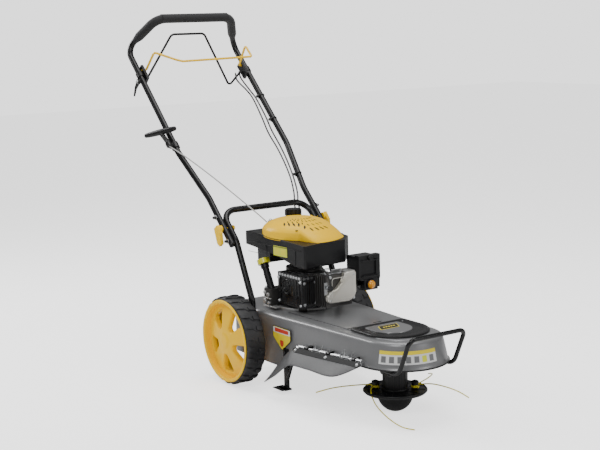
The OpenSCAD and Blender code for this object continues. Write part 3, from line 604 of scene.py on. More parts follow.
def sweep(bm, points, radius, sides=20, caps=True, shape=None):
    """A tube along points. radius is a number or a function of the share of the way along."""
    tangents = []
    for i in range(len(points)):
        a = points[max(0, i - 1)]
        b = points[min(len(points) - 1, i + 1)]
        tangents.append((b - a).normalized())
    side = Vector((0, 0, 1)).cross(tangents[0])
    if side.length < 0.1:
        side = Vector((0, 1, 0)).cross(tangents[0])
    side.normalize()
    rings = []
    for i, (p, t) in enumerate(zip(points, tangents)):
        side = (side - side.dot(t) * t).normalized()
        other = t.cross(side)
        r = radius(i / (len(points) - 1)) if callable(radius) else radius
        ring = []
        for j in range(sides):
            a = 2 * math.pi * j / sides
            u, v = (math.cos(a), math.sin(a)) if shape is None else shape(a)
            ring.append(bm.verts.new(p + side * r * u + other * r * v))
        rings.append(ring)
    bridge(bm, rings)
    if caps:
        bm.faces.new(rings[0][::-1])
        bm.faces.new(rings[-1])
    return rings


def prism(bm, outline, origin, across, up, depth, out=None):
    """Extrudes a 2D outline, given in the (across, up) plane from origin, by depth along out."""
    across, up = Vector(across), Vector(up)
    out = Vector(out) if out else across.cross(up).normalized()
    near = [bm.verts.new(Vector(origin) + across * a + up * b) for a, b in outline]
    far = [bm.verts.new(v.co + out * depth) for v in near]
    count = len(outline)
    bm.faces.new(near[::-1])
    bm.faces.new(far)
    for i in range(count):
        j = (i + 1) % count
        bm.faces.new((near[i], near[j], far[j], far[i]))
    return near, far


def round_outline(points, radius, steps=5):
    """Rounds the corners of a closed 2D outline."""
    out = []
    count = len(points)
    for i in range(count):
        p, q, r = (Vector(points[(i + k) % count]) for k in (-1, 0, 1))
        a, b = (p - q), (r - q)
        reach = min(radius, a.length * 0.45, b.length * 0.45)
        start, end = q + a.normalized() * reach, q + b.normalized() * reach
        for k in range(steps + 1):
            t = k / steps
            out.append(tuple((1 - t) ** 2 * start + 2 * t * (1 - t) * q + t * t * end))
    return out


def bolt(bm, origin, axis, across=0.007, height=0.005, washer=True):
    """A hexagon head with a chamfered top, on a washer."""
    origin, axis = Vector(origin), Vector(axis).normalized()
    base = 0.0
    if washer:
        lathe(bm, [(0, 0), (across * 1.35, 0), (across * 1.35, 0.0014), (0, 0.0014)], origin, axis, 24)
        base = 0.0014
    lathe(bm, [(0, base), (across, base), (across, base + height * 0.75), (across * 0.82, base + height),
               (0, base + height)],
          origin, axis, 6)


# ---------------------------------------------------------------- trimmer lines
LINE_R = 0.0019
ROUTES = {
    "line_left": [(-38, -49, 83), (-60, -66, 82), (-85, -96, 79), (-110, -128, 75), (-132, -160, 69),
                  (-150, -200, 60)],
    "line_front": [(-42, -49, 83), (-34, -66, 80), (-4, -92, 70), (52, -116, 50), (116, -122, 28),
                   (170, -112, 11), (198, -84, 3)],
    "line_right": [(42, 49, 83), (62, 58, 88), (92, 74, 92), (128, 94, 88), (166, 116, 77), (196, 134, 60)],
    "line_rear": [(38, 49, 83), (44, 66, 88), (36, 100, 92), (10, 140, 90), (-30, 176, 80), (-76, 200, 66)],
}


def route_length(points):
    return sum((b - a).length for a, b in zip(points, points[1:]))


def make_lines():
    for name, route in ROUTES.items():
        points = smooth_route([Vector(p) / 1000 for p in route], 5)
        bm = bmesh.new()
        sweep(bm, points, LINE_R, 10)
        piece = add_object(name + "_cord", bm, "line", "trimmer_head", smooth=60)
        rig.replaces(piece, name)
        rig.cord(piece, exit=points[0], length=route_length(points), diameter=2 * LINE_R, far_end="bare",
                stiffness="stiff", lay="loose", path=points)


make_lines()


# ---------------------------------------------------------------- handle
TUBE_R = 0.011
FOAM_R = 0.017
ROPE_R, CABLE_R, BAIL_R = 0.0022, 0.003, 0.0042
GRIP_S = 338.3
LOWER_HALF, UPPER_HALF, GRIP_HALF = 178, 200.3, 232


def make_lower_handle():
    w = LOWER_HALF
    half = [axle_mm(40, -w, 112), axle_mm(40, -w, 285), on_handle(-108, 0, -w), on_handle(24, 0, -w)]
    other = [Vector((p.x, -p.y, p.z)) for p in reversed(half)]
    bm = bmesh.new()
    sweep(bm, rounded(half + other, [0.06, 0.06, 0.055, 0.055, 0.06, 0.06], 7), TUBE_R, 28)
    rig.replaces(add_object("lower_handle_tube", bm, "black_paint", "chassis", smooth=60), "lower_handle")


def make_upper_handle():
    a, g, top = UPPER_HALF, GRIP_HALF, 814
    half = [(-124, 0, -a), (85, 0, -a), (300, 0, -g), (top, 0, -g), (top, 153, -159)]
    route = [on_handle(*p) for p in half] + [on_handle(s, n, -y) for s, n, y in reversed(half)]
    bm = bmesh.new()
    sweep(bm, rounded(route, [0.15, 0.15, 0.045, 0.06, 0.06, 0.045, 0.15, 0.15], 7), TUBE_R, 28)
    for side in (-1, 1):
        # Plug in each open end, and the two locating pins beside the clamp
        end = on_handle(-124, 0, side * a)
        lathe(bm, [(0, -0.002), (0.0095, -0.002), (0.0112, 0.0), (0.0112, 0.006), (0, 0.006)], end, UP_TUBE,
              24)
        for s in (0, -104):
            lathe(bm, [(0, 0), (0.005, 0), (0.005, 0.0115), (0.004, 0.0135), (0, 0.0135)],
                  on_handle(s, 0, side * (a + 9)), (0, side, 0), 20)
    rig.replaces(add_object("upper_handle_tube", bm, "black_paint", "folding_handle", smooth=60),
                "upper_handle")
    # Foam sleeve over the grip loop, softly thicker in the middle, with rolled ends
    reach = Vector((153, 73)).normalized() * 45
    start = on_handle(top, reach.x, -g + reach.y)
    finish = Vector((start.x, -start.y, start.z))
    path = rounded([start, on_handle(top, 153, -159), on_handle(top, 153, 159), finish], [0.06, 0.06], 5)
    path = smooth_route(path, 3)

    def sleeve(t):
        edge = min(t, 1 - t) / 0.012
        return TUBE_R + (FOAM_R - TUBE_R) * (math.sqrt(max(0.0, 1 - (1 - min(1, edge)) ** 2)) * 0.96 + 0.02)

    bm = bmesh.new()
    sweep(bm, path, sleeve, 32)
    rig.replaces(add_object("grip_sleeve", bm, "foam", "folding_handle", smooth=60), "foam_grip")


def make_bails():
    y = 220
    yellow = [(8, -y, 696), (8, -202, 696), (100, -200, 696), (98, -124, 656), (97, -100, 648),
              (93, 208, 660), (98, 202, 714), (8, 202, 696), (8, y, 696)]
    black = [(-4, -y, 672), (-4, -200, 672), (108, -97, 776), (108, 42, 776), (-68, 172, 662), (-4, 200, 672),
             (-4, y, 672)]
    for name, node, route, radii, material, body in (
            ("stop_bail_wire", "yellow_bail", yellow, [7, 10, 30, 30, 8, 8, 7], "bail_yellow",
             "engine_stop_bail"),
            ("drive_bail_wire", "black_bail", black, [9, 24, 24, 9, 9], "black_paint", "head_drive_bail")):
        bm = bmesh.new()
        points = rounded([on_handle(s, n, across) for n, across, s in route], [r / 1000 for r in radii], 8)
        sweep(bm, points, BAIL_R, 16)
        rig.replaces(add_object(name, bm, material, body, smooth=60), node)


def make_cables():
    upper = {
        "a": [(-622, 206, 1030), (-606, 204, 1004), (-558, 212, 960), (-518, 215, 928), (-456, 215, 864),
              (-411, 213, 811),
              (-353, 212, 755), (-294, 204, 701), (-244, 193, 652), (-210, 183, 615), (-188, 173, 588),
              (-170, 162, 566)],
        "b": [(-640, 200, 1024), (-622, 196, 996), (-562, 204, 956), (-523, 207, 923), (-465, 206, 856),
              (-419, 203, 802),
              (-360, 203, 748), (-301, 196, 695), (-250, 185, 647), (-217, 174, 608), (-195, 163, 581),
              (-180, 152, 562)]}
    lower = {
        "a": [(-140, 158, 500), (-112, 156, 440), (-76, 156, 390), (-30, 150, 350), (50, 130, 336),
              (130, 108, 342), (185, 84, 354)],
        "b": [(-152, 148, 496), (-124, 146, 436), (-90, 144, 376), (-56, 142, 320), (-34, 138, 284),
              (-22, 134, 266), (-20, 134, 257.5)]}
    for key in "ab":
        bm = bmesh.new()
        points = smooth_route([axle_mm(*p) for p in upper[key] + lower[key]], 6)
        sweep(bm, points, CABLE_R, 12)
        piece = add_object("control_cable_" + key, bm, "cable", None, smooth=60, slot="cable")
        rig.blend(piece, "chassis", "folding_handle", start=axle_mm(-110, 150, 440),
                 end=axle_mm(-250, 185, 640))
        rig.replaces(piece, "upper_cables", "lower_cables")


def make_rope():
    rest = [(-347, -262, 792), (-300, -220, 752), (-220, -158, 680), (-150, -106, 614), (-92, -66, 560),
            (-60, -46, 530)]
    bm = bmesh.new()
    sweep(bm, smooth_route([axle_mm(*p) for p in rest], 6), ROPE_R, 12)
    piece = add_object("starter_rope_cord", bm, "rope", None, smooth=60, slot="rope")
    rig.blend(piece, "chassis", "folding_handle", start=axle_mm(-60, -46, 530), end=axle_mm(-347, -262, 792))
    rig.replaces(piece, "starter_rope")
    # The rope's end inside the guide, which follows the grip as it is pulled
    ring, grip = on_handle(322, 12, -262), on_handle(342, 12, -262)
    bm = bmesh.new()
    sweep(bm, [ring.lerp(grip, i / 30) for i in range(31)], ROPE_R, 12)
    piece = add_object("starter_rope_tail", bm, "rope", None, smooth=60, slot="rope")
    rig.blend(piece, "folding_handle", "starter_grip", start=ring, end=grip)


def make_starter_grip():
    """T-shaped grip: a waisted bar across a tapered neck."""
    base = on_handle(GRIP_S, 12, -262)
    tips = [on_handle(GRIP_S + 92, 12 - 64, -262 - 32), on_handle(GRIP_S + 60, 12 - 10, -262 - 2),
            on_handle(GRIP_S + 28, 12 + 44, -262 + 28)]
    bm = bmesh.new()
    sweep(bm, smooth_route(tips, 14),
          lambda t: 0.0068 + 0.0042 * math.sin(math.pi * t) ** 0.8 if 0.02 < t < 0.98 else 0.0045, 24)
    neck_top = on_handle(GRIP_S + 58, 12 - 9, -262 - 2)
    sweep(bm, smooth_route([base, on_handle(GRIP_S + 8, 12 - 1, -262), neck_top], 8),
          lambda t: 0.0066 + 0.0022 * t, 24)
    lathe(bm, [(0, 0), (0.0066, 0), (0.0072, 0.0015), (0.0072, 0.0065), (0.006, 0.008), (0, 0.008)], base,
          UP_TUBE, 24)
    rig.replaces(add_object("starter_grip_bar", bm, "shroud_plastic", "starter_grip", smooth=60),
                "starter_handle")


def make_handle_fittings():
    """Cable ties, the screws and washers on the handle, and the bolts on its lower legs."""
    bm = bmesh.new()
    for s, y in ((150, UPPER_HALF + 8), (539, GRIP_HALF), (420, GRIP_HALF - 1)):
        centre = on_handle(s, 0, y)
        lathe(bm, [(0.0113, -0.003), (0.0135, -0.003), (0.014, 0), (0.0135, 0.003), (0.0113, 0.003)], centre,
              UP_TUBE, 32, closed=True)
        add_box(bm, centre + Vector((-0.004, -0.021, -0.004)), centre + Vector((0.004, -0.013, 0.004)),
                frame_along(UP_TUBE))
    add_object("cable_ties", bm, "shroud_plastic", "folding_handle", bevel=0.0006)
    bm = bmesh.new()
    for side in (-1, 1):
        for s in (0, -104):
            lathe(bm, [(0, 0), (0.0085, 0), (0.0085, 0.0016), (0, 0.0016)],
                  on_handle(s, 0, side * (UPPER_HALF + 11.2)), (0, side, 0), 24)
        bolt(bm, on_handle(652, -6, side * (GRIP_HALF + (19.2 if side < 0 else 11))), (0, side, 0), 0.005,
             0.004)
    add_object("handle_screws", bm, "steel", "folding_handle", bevel=0.0004)
    bm = bmesh.new()
    for side in (-1, 1):
        for z in (160, 232):
            bolt(bm, axle_mm(40, side * (LOWER_HALF + 11.2), z), (0, side, 0), 0.0065, 0.005)
    add_object("leg_bolts", bm, "steel", "chassis", bevel=0.0004)


# ---------------------------------------------------------------- wheels
WHEEL_FACE = 0.274


def wheel_point(side, radius, angle, depth):
    """A point on a wheel: depth runs inwards from its outer face, and angle 0 points up."""
    return AXLE + Vector((radius * math.sin(angle), side * (WHEEL_FACE - depth), radius * math.cos(angle)))


def dish(radius):
    """Depth of the spokes' outer surface: the hub stands proud and the spokes fall back to the rim."""
    t = max(0.0, min(1.0, (radius - 0.026) / 0.1))
    return 0.0045 + 0.0185 * t ** 1.25


def ray_to_outline(centre, point, outline):
    """Where the ray from centre through point meets a closed 2D outline round the centre."""
    d = point - centre
    for a, b in zip(outline, outline[1:] + outline[:1]):
        e = b - a
        cross = d.x * e.y - d.y * e.x
        if abs(cross) < 1e-12:
            continue
        w = a - centre
        t = (w.x * e.y - w.y * e.x) / cross
        u = (w.x * d.y - w.y * d.x) / cross
        if t > 0 and -1e-6 <= u <= 1 + 1e-6:
            return centre + d * t
    return point


def make_rim(side, body, node):
    spokes, inner, outer = 5, 0.027, 0.1275
    half = math.pi / spokes
    window = [Vector(p) for p in round_outline([(-0.0105, 0.047), (0.0105, 0.047), (0.035, 0.1085),
                                                (-0.035, 0.1085)], 0.016, 6)]
    centre = Vector((0, 0.088))
    bm = bmesh.new()

    def lift(p, depth_extra, turn):
        radius, angle = p.length, math.atan2(p.x, p.y)
        return wheel_point(side, radius, angle + turn, dish(radius) + depth_extra)

    for k in range(spokes):
        turn = (k + 0.5) * 2 * half
        cell = []
        count = 16
        for i in range(count):
            a = -half + 2 * half * i / count
            cell.append(Vector((inner * math.sin(a), inner * math.cos(a))))
        for i in range(count):
            r = inner + (outer - inner) * i / count
            cell.append(Vector((r * math.sin(half), r * math.cos(half))))
        for i in range(count):
            a = half - 2 * half * i / count
            cell.append(Vector((outer * math.sin(a), outer * math.cos(a))))
        for i in range(count):
            r = outer - (outer - inner) * i / count
            cell.append(Vector((r * math.sin(-half), r * math.cos(-half))))
        edge = [ray_to_outline(centre, p, window) for p in cell]
        rings = []
        for t, extra, shrink in ((0, 0, 0), (0.3, 0, 0), (0.6, -0.0004, 0), (0.85, -0.0008, 0),
                                 (0.95, -0.0002, 0), (1.0, 0.0016, 0), (1.0, 0.0055, 0.02),
                                 (1.0, 0.017, 0.05)):
            ring = []
            for p, q in zip(cell, edge):
                q2 = q.lerp(centre, shrink)
                ring.append(bm.verts.new(lift(p.lerp(q2, t), extra, turn)))
            rings.append(ring)
        bridge(bm, rings)
    axis = (0, -side, 0)
    start = AXLE + Vector((0, side * WHEEL_FACE, 0))
    hub = [(0.027, dish(0.027)), (0.024, 0.0035), (0.021, 0.0022), (0.012, 0.0016), (0, 0.0014)]
    lathe(bm, hub, start, axis, 80)
    rim = [(outer, dish(outer)), (0.1292, 0.0225), (0.1294, 0.012), (0.1300, 0.004), (0.1312, 0.0012),
           (0.1330, 0.0002),
           (0.1385, 0.0002), (0.1405, 0.0010), (0.1412, 0.0030), (0.1400, 0.0044), (0.1285, 0.0046),
           (0.1284, 0.076),
           (0.1262, 0.076), (0.1240, 0.030), (0.1230, 0.0265)]
    lathe(bm, rim, start, axis, 120)
    barrel = [(0.0300, 0.016), (0.0240, 0.017), (0.0240, 0.066), (0.014, 0.066), (0.014, 0.02)]
    bm2 = bmesh.new()
    lathe(bm2, barrel, start, axis, 64)
    add_object(node + "_hub_barrel", bm2, "yellow_plastic", body, smooth=40)
    piece = add_object(node + "_dish", bm, "yellow_plastic", body, smooth=50)
    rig.replaces(piece, node)


def make_tyre(side, body, node):
    """Moulded tyre: rounded shoulders, side lugs on both edges and bars across the middle."""
    axis = (0, -side, 0)
    start = AXLE + Vector((0, side * WHEEL_FACE, 0))
    profile = [(0.1287, 0.0048), (0.1390, 0.0047), (0.1425, 0.0056), (0.1450, 0.0085), (0.1464, 0.0130),
               (0.1468, 0.0200),
               (0.1470, 0.0400), (0.1468, 0.0600), (0.1464, 0.0680), (0.1450, 0.0740), (0.1425, 0.0770),
               (0.1390, 0.0785), (0.1287, 0.0785)]
    bm = bmesh.new()
    lathe(bm, profile, start, axis, 144, closed=True)
    count = 24
    step = 2 * math.pi / count

    def lug(angle, width, path, lead=0.0):
        """A raised block that follows (depth, low radius, high radius) stations."""
        rings = []
        for depth, low, high in path:
            shift = lead * (depth - path[0][0])
            corners = []
            for da in (-0.5, -0.2, 0.2, 0.5):
                corners.append((high, angle + shift + da * width))
            for da in (0.5, -0.5):
                corners.append((low, angle + shift + da * width))
            rings.append([bm.verts.new(wheel_point(side, r, a, depth)) for r, a in corners])
        bridge(bm, rings)
        bm.faces.new(rings[0][::-1])
        bm.faces.new(rings[-1])

    for i in range(count):
        lug(i * step, 0.105,
            [(0.0058, 0.138, 0.1445), (0.0085, 0.140, 0.1482), (0.0125, 0.142, 0.1504),
             (0.0200, 0.144, 0.1512), (0.0330, 0.144, 0.1512)], lead=1.6)
        lug((i + 0.5) * step, 0.105,
            [(0.0772, 0.138, 0.1445), (0.0745, 0.140, 0.1482), (0.0705, 0.142, 0.1504),
             (0.0630, 0.144, 0.1512), (0.0500, 0.144, 0.1512)], lead=1.6)
        lug((i + 0.25) * step, 0.05, [(0.0345, 0.145, 0.1496), (0.0485, 0.145, 0.1496)], lead=6.0)
    piece = add_object(node + "_moulded", bm, "tyre", body, smooth=35, bevel=0.0009, segments=2)
    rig.replaces(piece, node)


make_lower_handle()
make_upper_handle()
make_bails()
make_cables()
make_rope()
make_starter_grip()
make_handle_fittings()
for side_sign, wheel_body, wheel_name in ((1, "wheel_left", "left"), (-1, "wheel_right", "right")):
    make_rim(side_sign, wheel_body, "rim_" + wheel_name)
    make_tyre(side_sign, wheel_body, "tyre_" + wheel_name)


# ---------------------------------------------------------------- CAD shapes with rounded edges
def recast(node, bevel=0.0008, segments=2, material=None, name=None, smooth=35):
    """Remakes a CAD node's mesh with its flat faces whole and its edges rounded, in the same place."""
    bm = bmesh.new()
    bm.from_mesh(NODES[node].data)
    bmesh.ops.remove_doubles(bm, verts=bm.verts, dist=2e-6)
    bmesh.ops.dissolve_limit(bm, angle_limit=math.radians(0.8), verts=bm.verts, edges=bm.edges)
    body = NODES[node]["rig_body"]
    piece = add_object(name or node + "_finished", bm, material or SLOT_OF[node], body, smooth=smooth,
                       bevel=bevel,
                       segments=segments, slot=SLOT_OF[node])
    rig.replaces(piece, node)
    return piece


# ---------------------------------------------------------------- deck
NOSE = (622, 0)
DECK_HALF, NOSE_R = 165, 130
ENGINE_X = 95


def deck_line(half, nose, start=-115, corner=22):
    """The deck's outline in axle millimetres, always with the same number of points."""
    right = [(start, 0), (start, -(half - corner) * 0.5), (start, -(half - corner)), (start + 6, -half + 9),
             (start + 25, -half)]
    right += [(start + 25 + (150 - start - 25) * t / 6, -half) for t in range(1, 7)]
    right += [(150 + 472 * t / 12, -half + (half - nose) * t / 12) for t in range(1, 12)]
    arc = [(NOSE[0] + nose * math.sin(math.radians(a)), -nose * math.cos(math.radians(a))) for a in range(0,
            181, 5)]
    left = [(x, -y) for x, y in reversed(right[1:])]
    return right + arc + left


def deck_nose(z):
    """Radius of the nose at a height, which flares towards the lip."""
    return NOSE_R + 13 * min(1.0, max(0.0, (246 - z) / 60))


def make_deck():
    rings = [(256, DECK_HALF - 20, NOSE_R - 20), (255.8, DECK_HALF - 14, NOSE_R - 14),
             (254.9, DECK_HALF - 9.5, NOSE_R - 9.5), (252.6, DECK_HALF - 5, NOSE_R - 5),
             (249.4, DECK_HALF - 2, NOSE_R - 1.8), (245, DECK_HALF - 0.5, NOSE_R - 0.2),
             (238, DECK_HALF, 131.4)]
    rings += [(z, DECK_HALF, deck_nose(z)) for z in (232, 218, 204, 192, 184)]
    rings += [(179, 165, 144.5), (176, 165.2, 147), (173.6, 165.2, 148), (172, 165.2, 147.5),
              (172, 162.5, 145),
              (176, 162, 140), (190, 162, 138), (236, 162, 128), (250, 152, 118), (253, 129, 94)]
    bm = bmesh.new()
    loops = []
    for k, (z, half, nose) in enumerate(rings):
        start = -115 if k < len(rings) - 5 else -112
        loops.append([bm.verts.new(axle_mm(x, y, z)) for x, y in deck_line(half, nose, start)])
    bridge(bm, loops)
    bm.faces.new(loops[0])
    bm.faces.new(loops[-1][::-1])
    # Rear skirt: the walls run on down behind the slanted edge of the discharge
    line = deck_line(165, 143)
    inner = deck_line(162, 140, -112)
    keep = [i for i, p in enumerate(line) if p[0] <= 292]
    order = [i for i in keep if i > len(line) // 2] + [i for i in keep if i < len(line) // 2]
    rows = []
    for i in order:
        x, y = line[i]
        low = 84 if x < 253 else 84 + (x - 253) * 2.25
        rows.append([bm.verts.new(axle_mm(px, py, z)) for (px, py), z in
                     (((x, y), 176), ((x, y), low), (inner[i], low), (inner[i], 176))])
    for one, two in zip(rows, rows[1:]):
        for a in range(3):
            bm.faces.new((one[a], one[a + 1], two[a + 1], two[a]))
    for row in (rows[0], rows[-1]):
        bm.faces.new(row)
    piece = add_object("deck_pressing", bm, "deck_paint", "chassis", smooth=50)
    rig.replaces(piece, "deck_shell")

    # Raised front panel over the belt, with a rounded rear edge that follows the engine
    bm = bmesh.new()
    loops = []
    for z, grow in ((255.6, 3.2), (257.2, 2.6), (258.8, 1.0), (259.3, -1.5)):
        nose, half = 100 + grow, 128 + grow
        arc = [(NOSE[0] + nose * math.sin(math.radians(a)),
                -nose * math.cos(math.radians(a))) for a in range(0, 181, 6)]
        radius = 128 - grow
        rear = []
        for k in range(21):
            a = math.radians(62 - 124 * k / 20)
            rear.append((ENGINE_X + radius * math.cos(a), radius * math.sin(a)))
        loops.append([bm.verts.new(axle_mm(x, y, z)) for x, y in arc + rear])
    bridge(bm, loops)
    bm.faces.new(loops[-1])
    add_object("deck_raised_panel", bm, "deck_paint", "chassis", smooth=60)

    # Rubber edging round the nose lip
    bm = bmesh.new()
    edge = [axle_mm(x, y, 173.4) for x, y in deck_line(165, 147.6) if x > 330]
    sweep(bm, edge, 0.0026, 12)
    add_object("deck_edging", bm, "shroud_plastic", "chassis", smooth=60)
    # Louvres behind the belt cover, as dark plates: painted shade in their openings
    bm = bmesh.new()
    for x, y, length in ((482, -104, 34), (470, 8, 34)):
        outline = round_outline([(0, -0.0022), (length / 1000, -0.0022), (length / 1000, 0.0022),
                                 (0, 0.0022)], 0.002)
        prism(bm, outline, axle_mm(x, y, 259.0), (0, 1, 0), (1, 0, 0), 0.0009, out=(0, 0, 1))
    add_object("deck_louvres", bm, "dark_recess", "chassis", smooth=30)


def make_belt_cover():
    """D-shaped cover: black dish with a stepped rim, a bright inset plate and a plain lozenge on it."""
    def d_line(radius, rear, z, centre=592):
        out = [Vector(axle_mm(centre + radius * math.sin(math.radians(a)),
                              -radius * math.cos(math.radians(a)), z)) for a in range(0, 181, 4)]
        soft = 8
        left = [(centre + (rear + soft - centre) * t / 4, radius) for t in range(1, 5)]
        turn = [(rear + soft - soft * math.sin(math.radians(a)),
                 radius - soft + soft * math.cos(math.radians(a))) for a in range(15, 91, 15)]
        across = [(rear, (radius - soft) * (1 - t / 5)) for t in range(1, 6)]
        half = left + turn + across
        return out + [Vector(axle_mm(x, y, z)) for x, y in half] + [Vector(axle_mm(x, -y, z)) for x,
                y in reversed(half[:-1])]

    bm = bmesh.new()
    loops = []
    for radius, rear, z in ((108, 498, 259.4), (108, 498, 263), (106, 500, 265.2), (100, 505, 266.0),
                            (93, 511, 265.4), (88, 515, 262.6), (74, 518, 262.2)):
        loops.append([bm.verts.new(p) for p in d_line(radius, rear, z)])
    bridge(bm, loops)
    bm.faces.new(loops[-1])
    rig.replaces(add_object("belt_cover_moulding", bm, "shroud_plastic", "chassis", smooth=35), "belt_cover")
    bm = bmesh.new()
    loops = [[bm.verts.new(p) for p in d_line(r, rear, z, 574)] for r, rear,
             z in ((66, 519, 262.3), (65, 520, 264.4), (61, 523, 264.8))]
    bridge(bm, loops)
    bm.faces.new(loops[-1])
    add_object("belt_cover_plate", bm, "deck_paint", "chassis", smooth=40)
    for name, grow, z, material in (("lozenge_border", 0.0, 264.8, "label_yellow"),
                                    ("lozenge", -0.0022, 265.1, "dark_recess")):
        outline = [(-0.046 - grow * 1.5, -0.020 - grow), (0.028 + grow, -0.020 - grow),
                   (0.046 + grow * 1.5, 0.020 + grow), (-0.028 - grow, 0.020 + grow)]
        bm = bmesh.new()
        prism(bm, round_outline(outline, 0.003), axle_mm(560, 0, z), (0, 1, 0), (-1, 0, 0), 0.0004,
              out=(0, 0, 1))
        add_object("belt_cover_" + name, bm, material, "chassis", smooth=30)
    bm = bmesh.new()
    for k in range(5):
        prism(bm, [(-0.024 + k * 0.010, -0.004), (-0.017 + k * 0.010, -0.004), (-0.014 + k * 0.010, 0.004),
                   (-0.021 + k * 0.010, 0.004)],
              axle_mm(560, 0, 265.5), (0, 1, 0), (-1, 0, 0), 0.0003, out=(0, 0, 1))
    add_object("belt_cover_dashes", bm, "label_yellow", "chassis", smooth=30)


def nose_strip(name, a0, a1, z0, z1, lift, material):
    """A label that follows the nose, from angle a0 to a1; angle 0 points forward."""
    bm = bmesh.new()
    rows = []
    count = max(2, int(abs(a1 - a0) / 3) + 1)
    for i in range(count + 1):
        a = math.radians(a0 + (a1 - a0) * i / count)
        row = []
        for z, extra in ((z0, lift), (z1, lift), (z1, 0.0), (z0, 0.0)):
            r = deck_nose(z) + 0.25 + extra
            row.append(bm.verts.new(axle_mm(NOSE[0] + r * math.cos(a), NOSE[1] + r * math.sin(a), z)))
        rows.append(row)
    bridge(bm, rows)
    bm.faces.new(rows[0])
    bm.faces.new(rows[-1][::-1])
    add_object(name, bm, material, "chassis", smooth=40)


def make_labels():
    """Plain coloured labels with no lettering."""
    nose_strip("nose_label_ground", -68, 10, 192, 232, 0.3, "pale_foil")
    nose_strip("nose_label_head", -68, 10, 221, 232, 0.55, "label_yellow")
    for k in range(7):
        a = -65 + k * 10.6
        nose_strip("nose_label_cell_%d" % k, a, a + 6.5, 197, 216, 0.5,
                   "label_lime" if k == 5 else "deck_paint")
    # Shield on the deck's side
    for name, scale, lift, material in (("edge", 1.0, 0.3, "dark_recess"),
                                        ("ground", 0.95, 0.5, "label_yellow")):
        outline = [(-0.053, 0.031), (0.053, 0.031), (0.053, -0.006), (0, -0.047), (-0.053, -0.006)]
        outline = round_outline([(x * scale, z * scale) for x, z in outline], 0.006)
        bm = bmesh.new()
        prism(bm, outline, axle_mm(197, -165.2, 188), (1, 0, 0), (0, 0, 1), lift / 1000, out=(0, -1, 0))
        add_object("side_label_" + name, bm, material, "chassis", smooth=30)
    for name, box, material in (("top", (-0.050, 0.010, 0.050, 0.028), "pale_foil"),
                                ("bar", (-0.040, 0.013, 0.040, 0.026), "label_red")):
        bm = bmesh.new()
        prism(bm, round_outline([(box[0], box[1]), (box[2], box[1]), (box[2], box[3]), (box[0], box[3])],
                                0.003),
              axle_mm(197, -165.7, 188), (1, 0, 0), (0, 0, 1), 0.0003 if name == "top" else 0.0005,
              out=(0, -1, 0))
        add_object("side_label_" + name, bm, material, "chassis", smooth=30)
    bm = bmesh.new()
    prism(bm, round_outline([(-0.010, -0.012), (0.010, -0.012), (0.010, -0.026), (0, -0.036),
                             (-0.010, -0.026)], 0.004),
          axle_mm(197, -165.7, 188), (1, 0, 0), (0, 0, 1), 0.0004, out=(0, -1, 0))
    add_object("side_label_mark", bm, "label_red", "chassis", smooth=30)
    # Panel on the shroud's right face
    bm = bmesh.new()
    prism(bm, round_outline([(0, 0), (0.074, 0), (0.074, 0.034), (0, 0.034)], 0.002),
          axle_mm(76, -109.9, 440), (0.997, 0.0783, 0), (0, 0, 1), 0.0004, out=(0.0783, -0.997, 0))
    add_object("shroud_label", bm, "label_lime", "chassis", smooth=30)
    bm = bmesh.new()
    for k in range(2):
        prism(bm, round_outline([(0.008 + k * 0.033, 0.006), (0.033 + k * 0.033, 0.006),
                                 (0.033 + k * 0.033, 0.026), (0.008 + k * 0.033, 0.026)], 0.003),
              axle_mm(76, -110.4, 440), (0.997, 0.0783, 0), (0, 0, 1), 0.0003, out=(0.0783, -0.997, 0))
    add_object("shroud_label_panels", bm, "bright_yellow", "chassis", smooth=30)


def make_bumper():
    z0 = 186 - 14 - 7 - 0.2
    half = [axle_mm(655, -108, z0), axle_mm(742, -108, z0), axle_mm(797, -108, 284)]
    other = [Vector((p.x, -p.y, p.z)) for p in reversed(half)]
    bm = bmesh.new()
    sweep(bm, rounded(half + other, [0.042, 0.024, 0.024, 0.042], 6), 0.007, 24)
    for y in (-108, 108):
        for x in (662, 700):
            bolt(bm, axle_mm(x, y, z0 - 6.5), (0, 0, -1), 0.005, 0.004)
    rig.replaces(add_object("nose_bar", bm, "black_paint", "chassis", smooth=50), "nose_bumper")


# ---------------------------------------------------------------- side deflector
def hinge_mm(x, y, z):
    """A point in the deflector's hinge frame: x forward along the rod, y inwards, z up."""
    yaw, rise = math.radians(3), math.radians(2.5)
    v = Matrix.Rotation(yaw, 3, "Z") @ Matrix.Rotation(-rise, 3, "Y") @ Vector((x, y, z))
    return axle_mm(296, -176, 178) + v / 1000


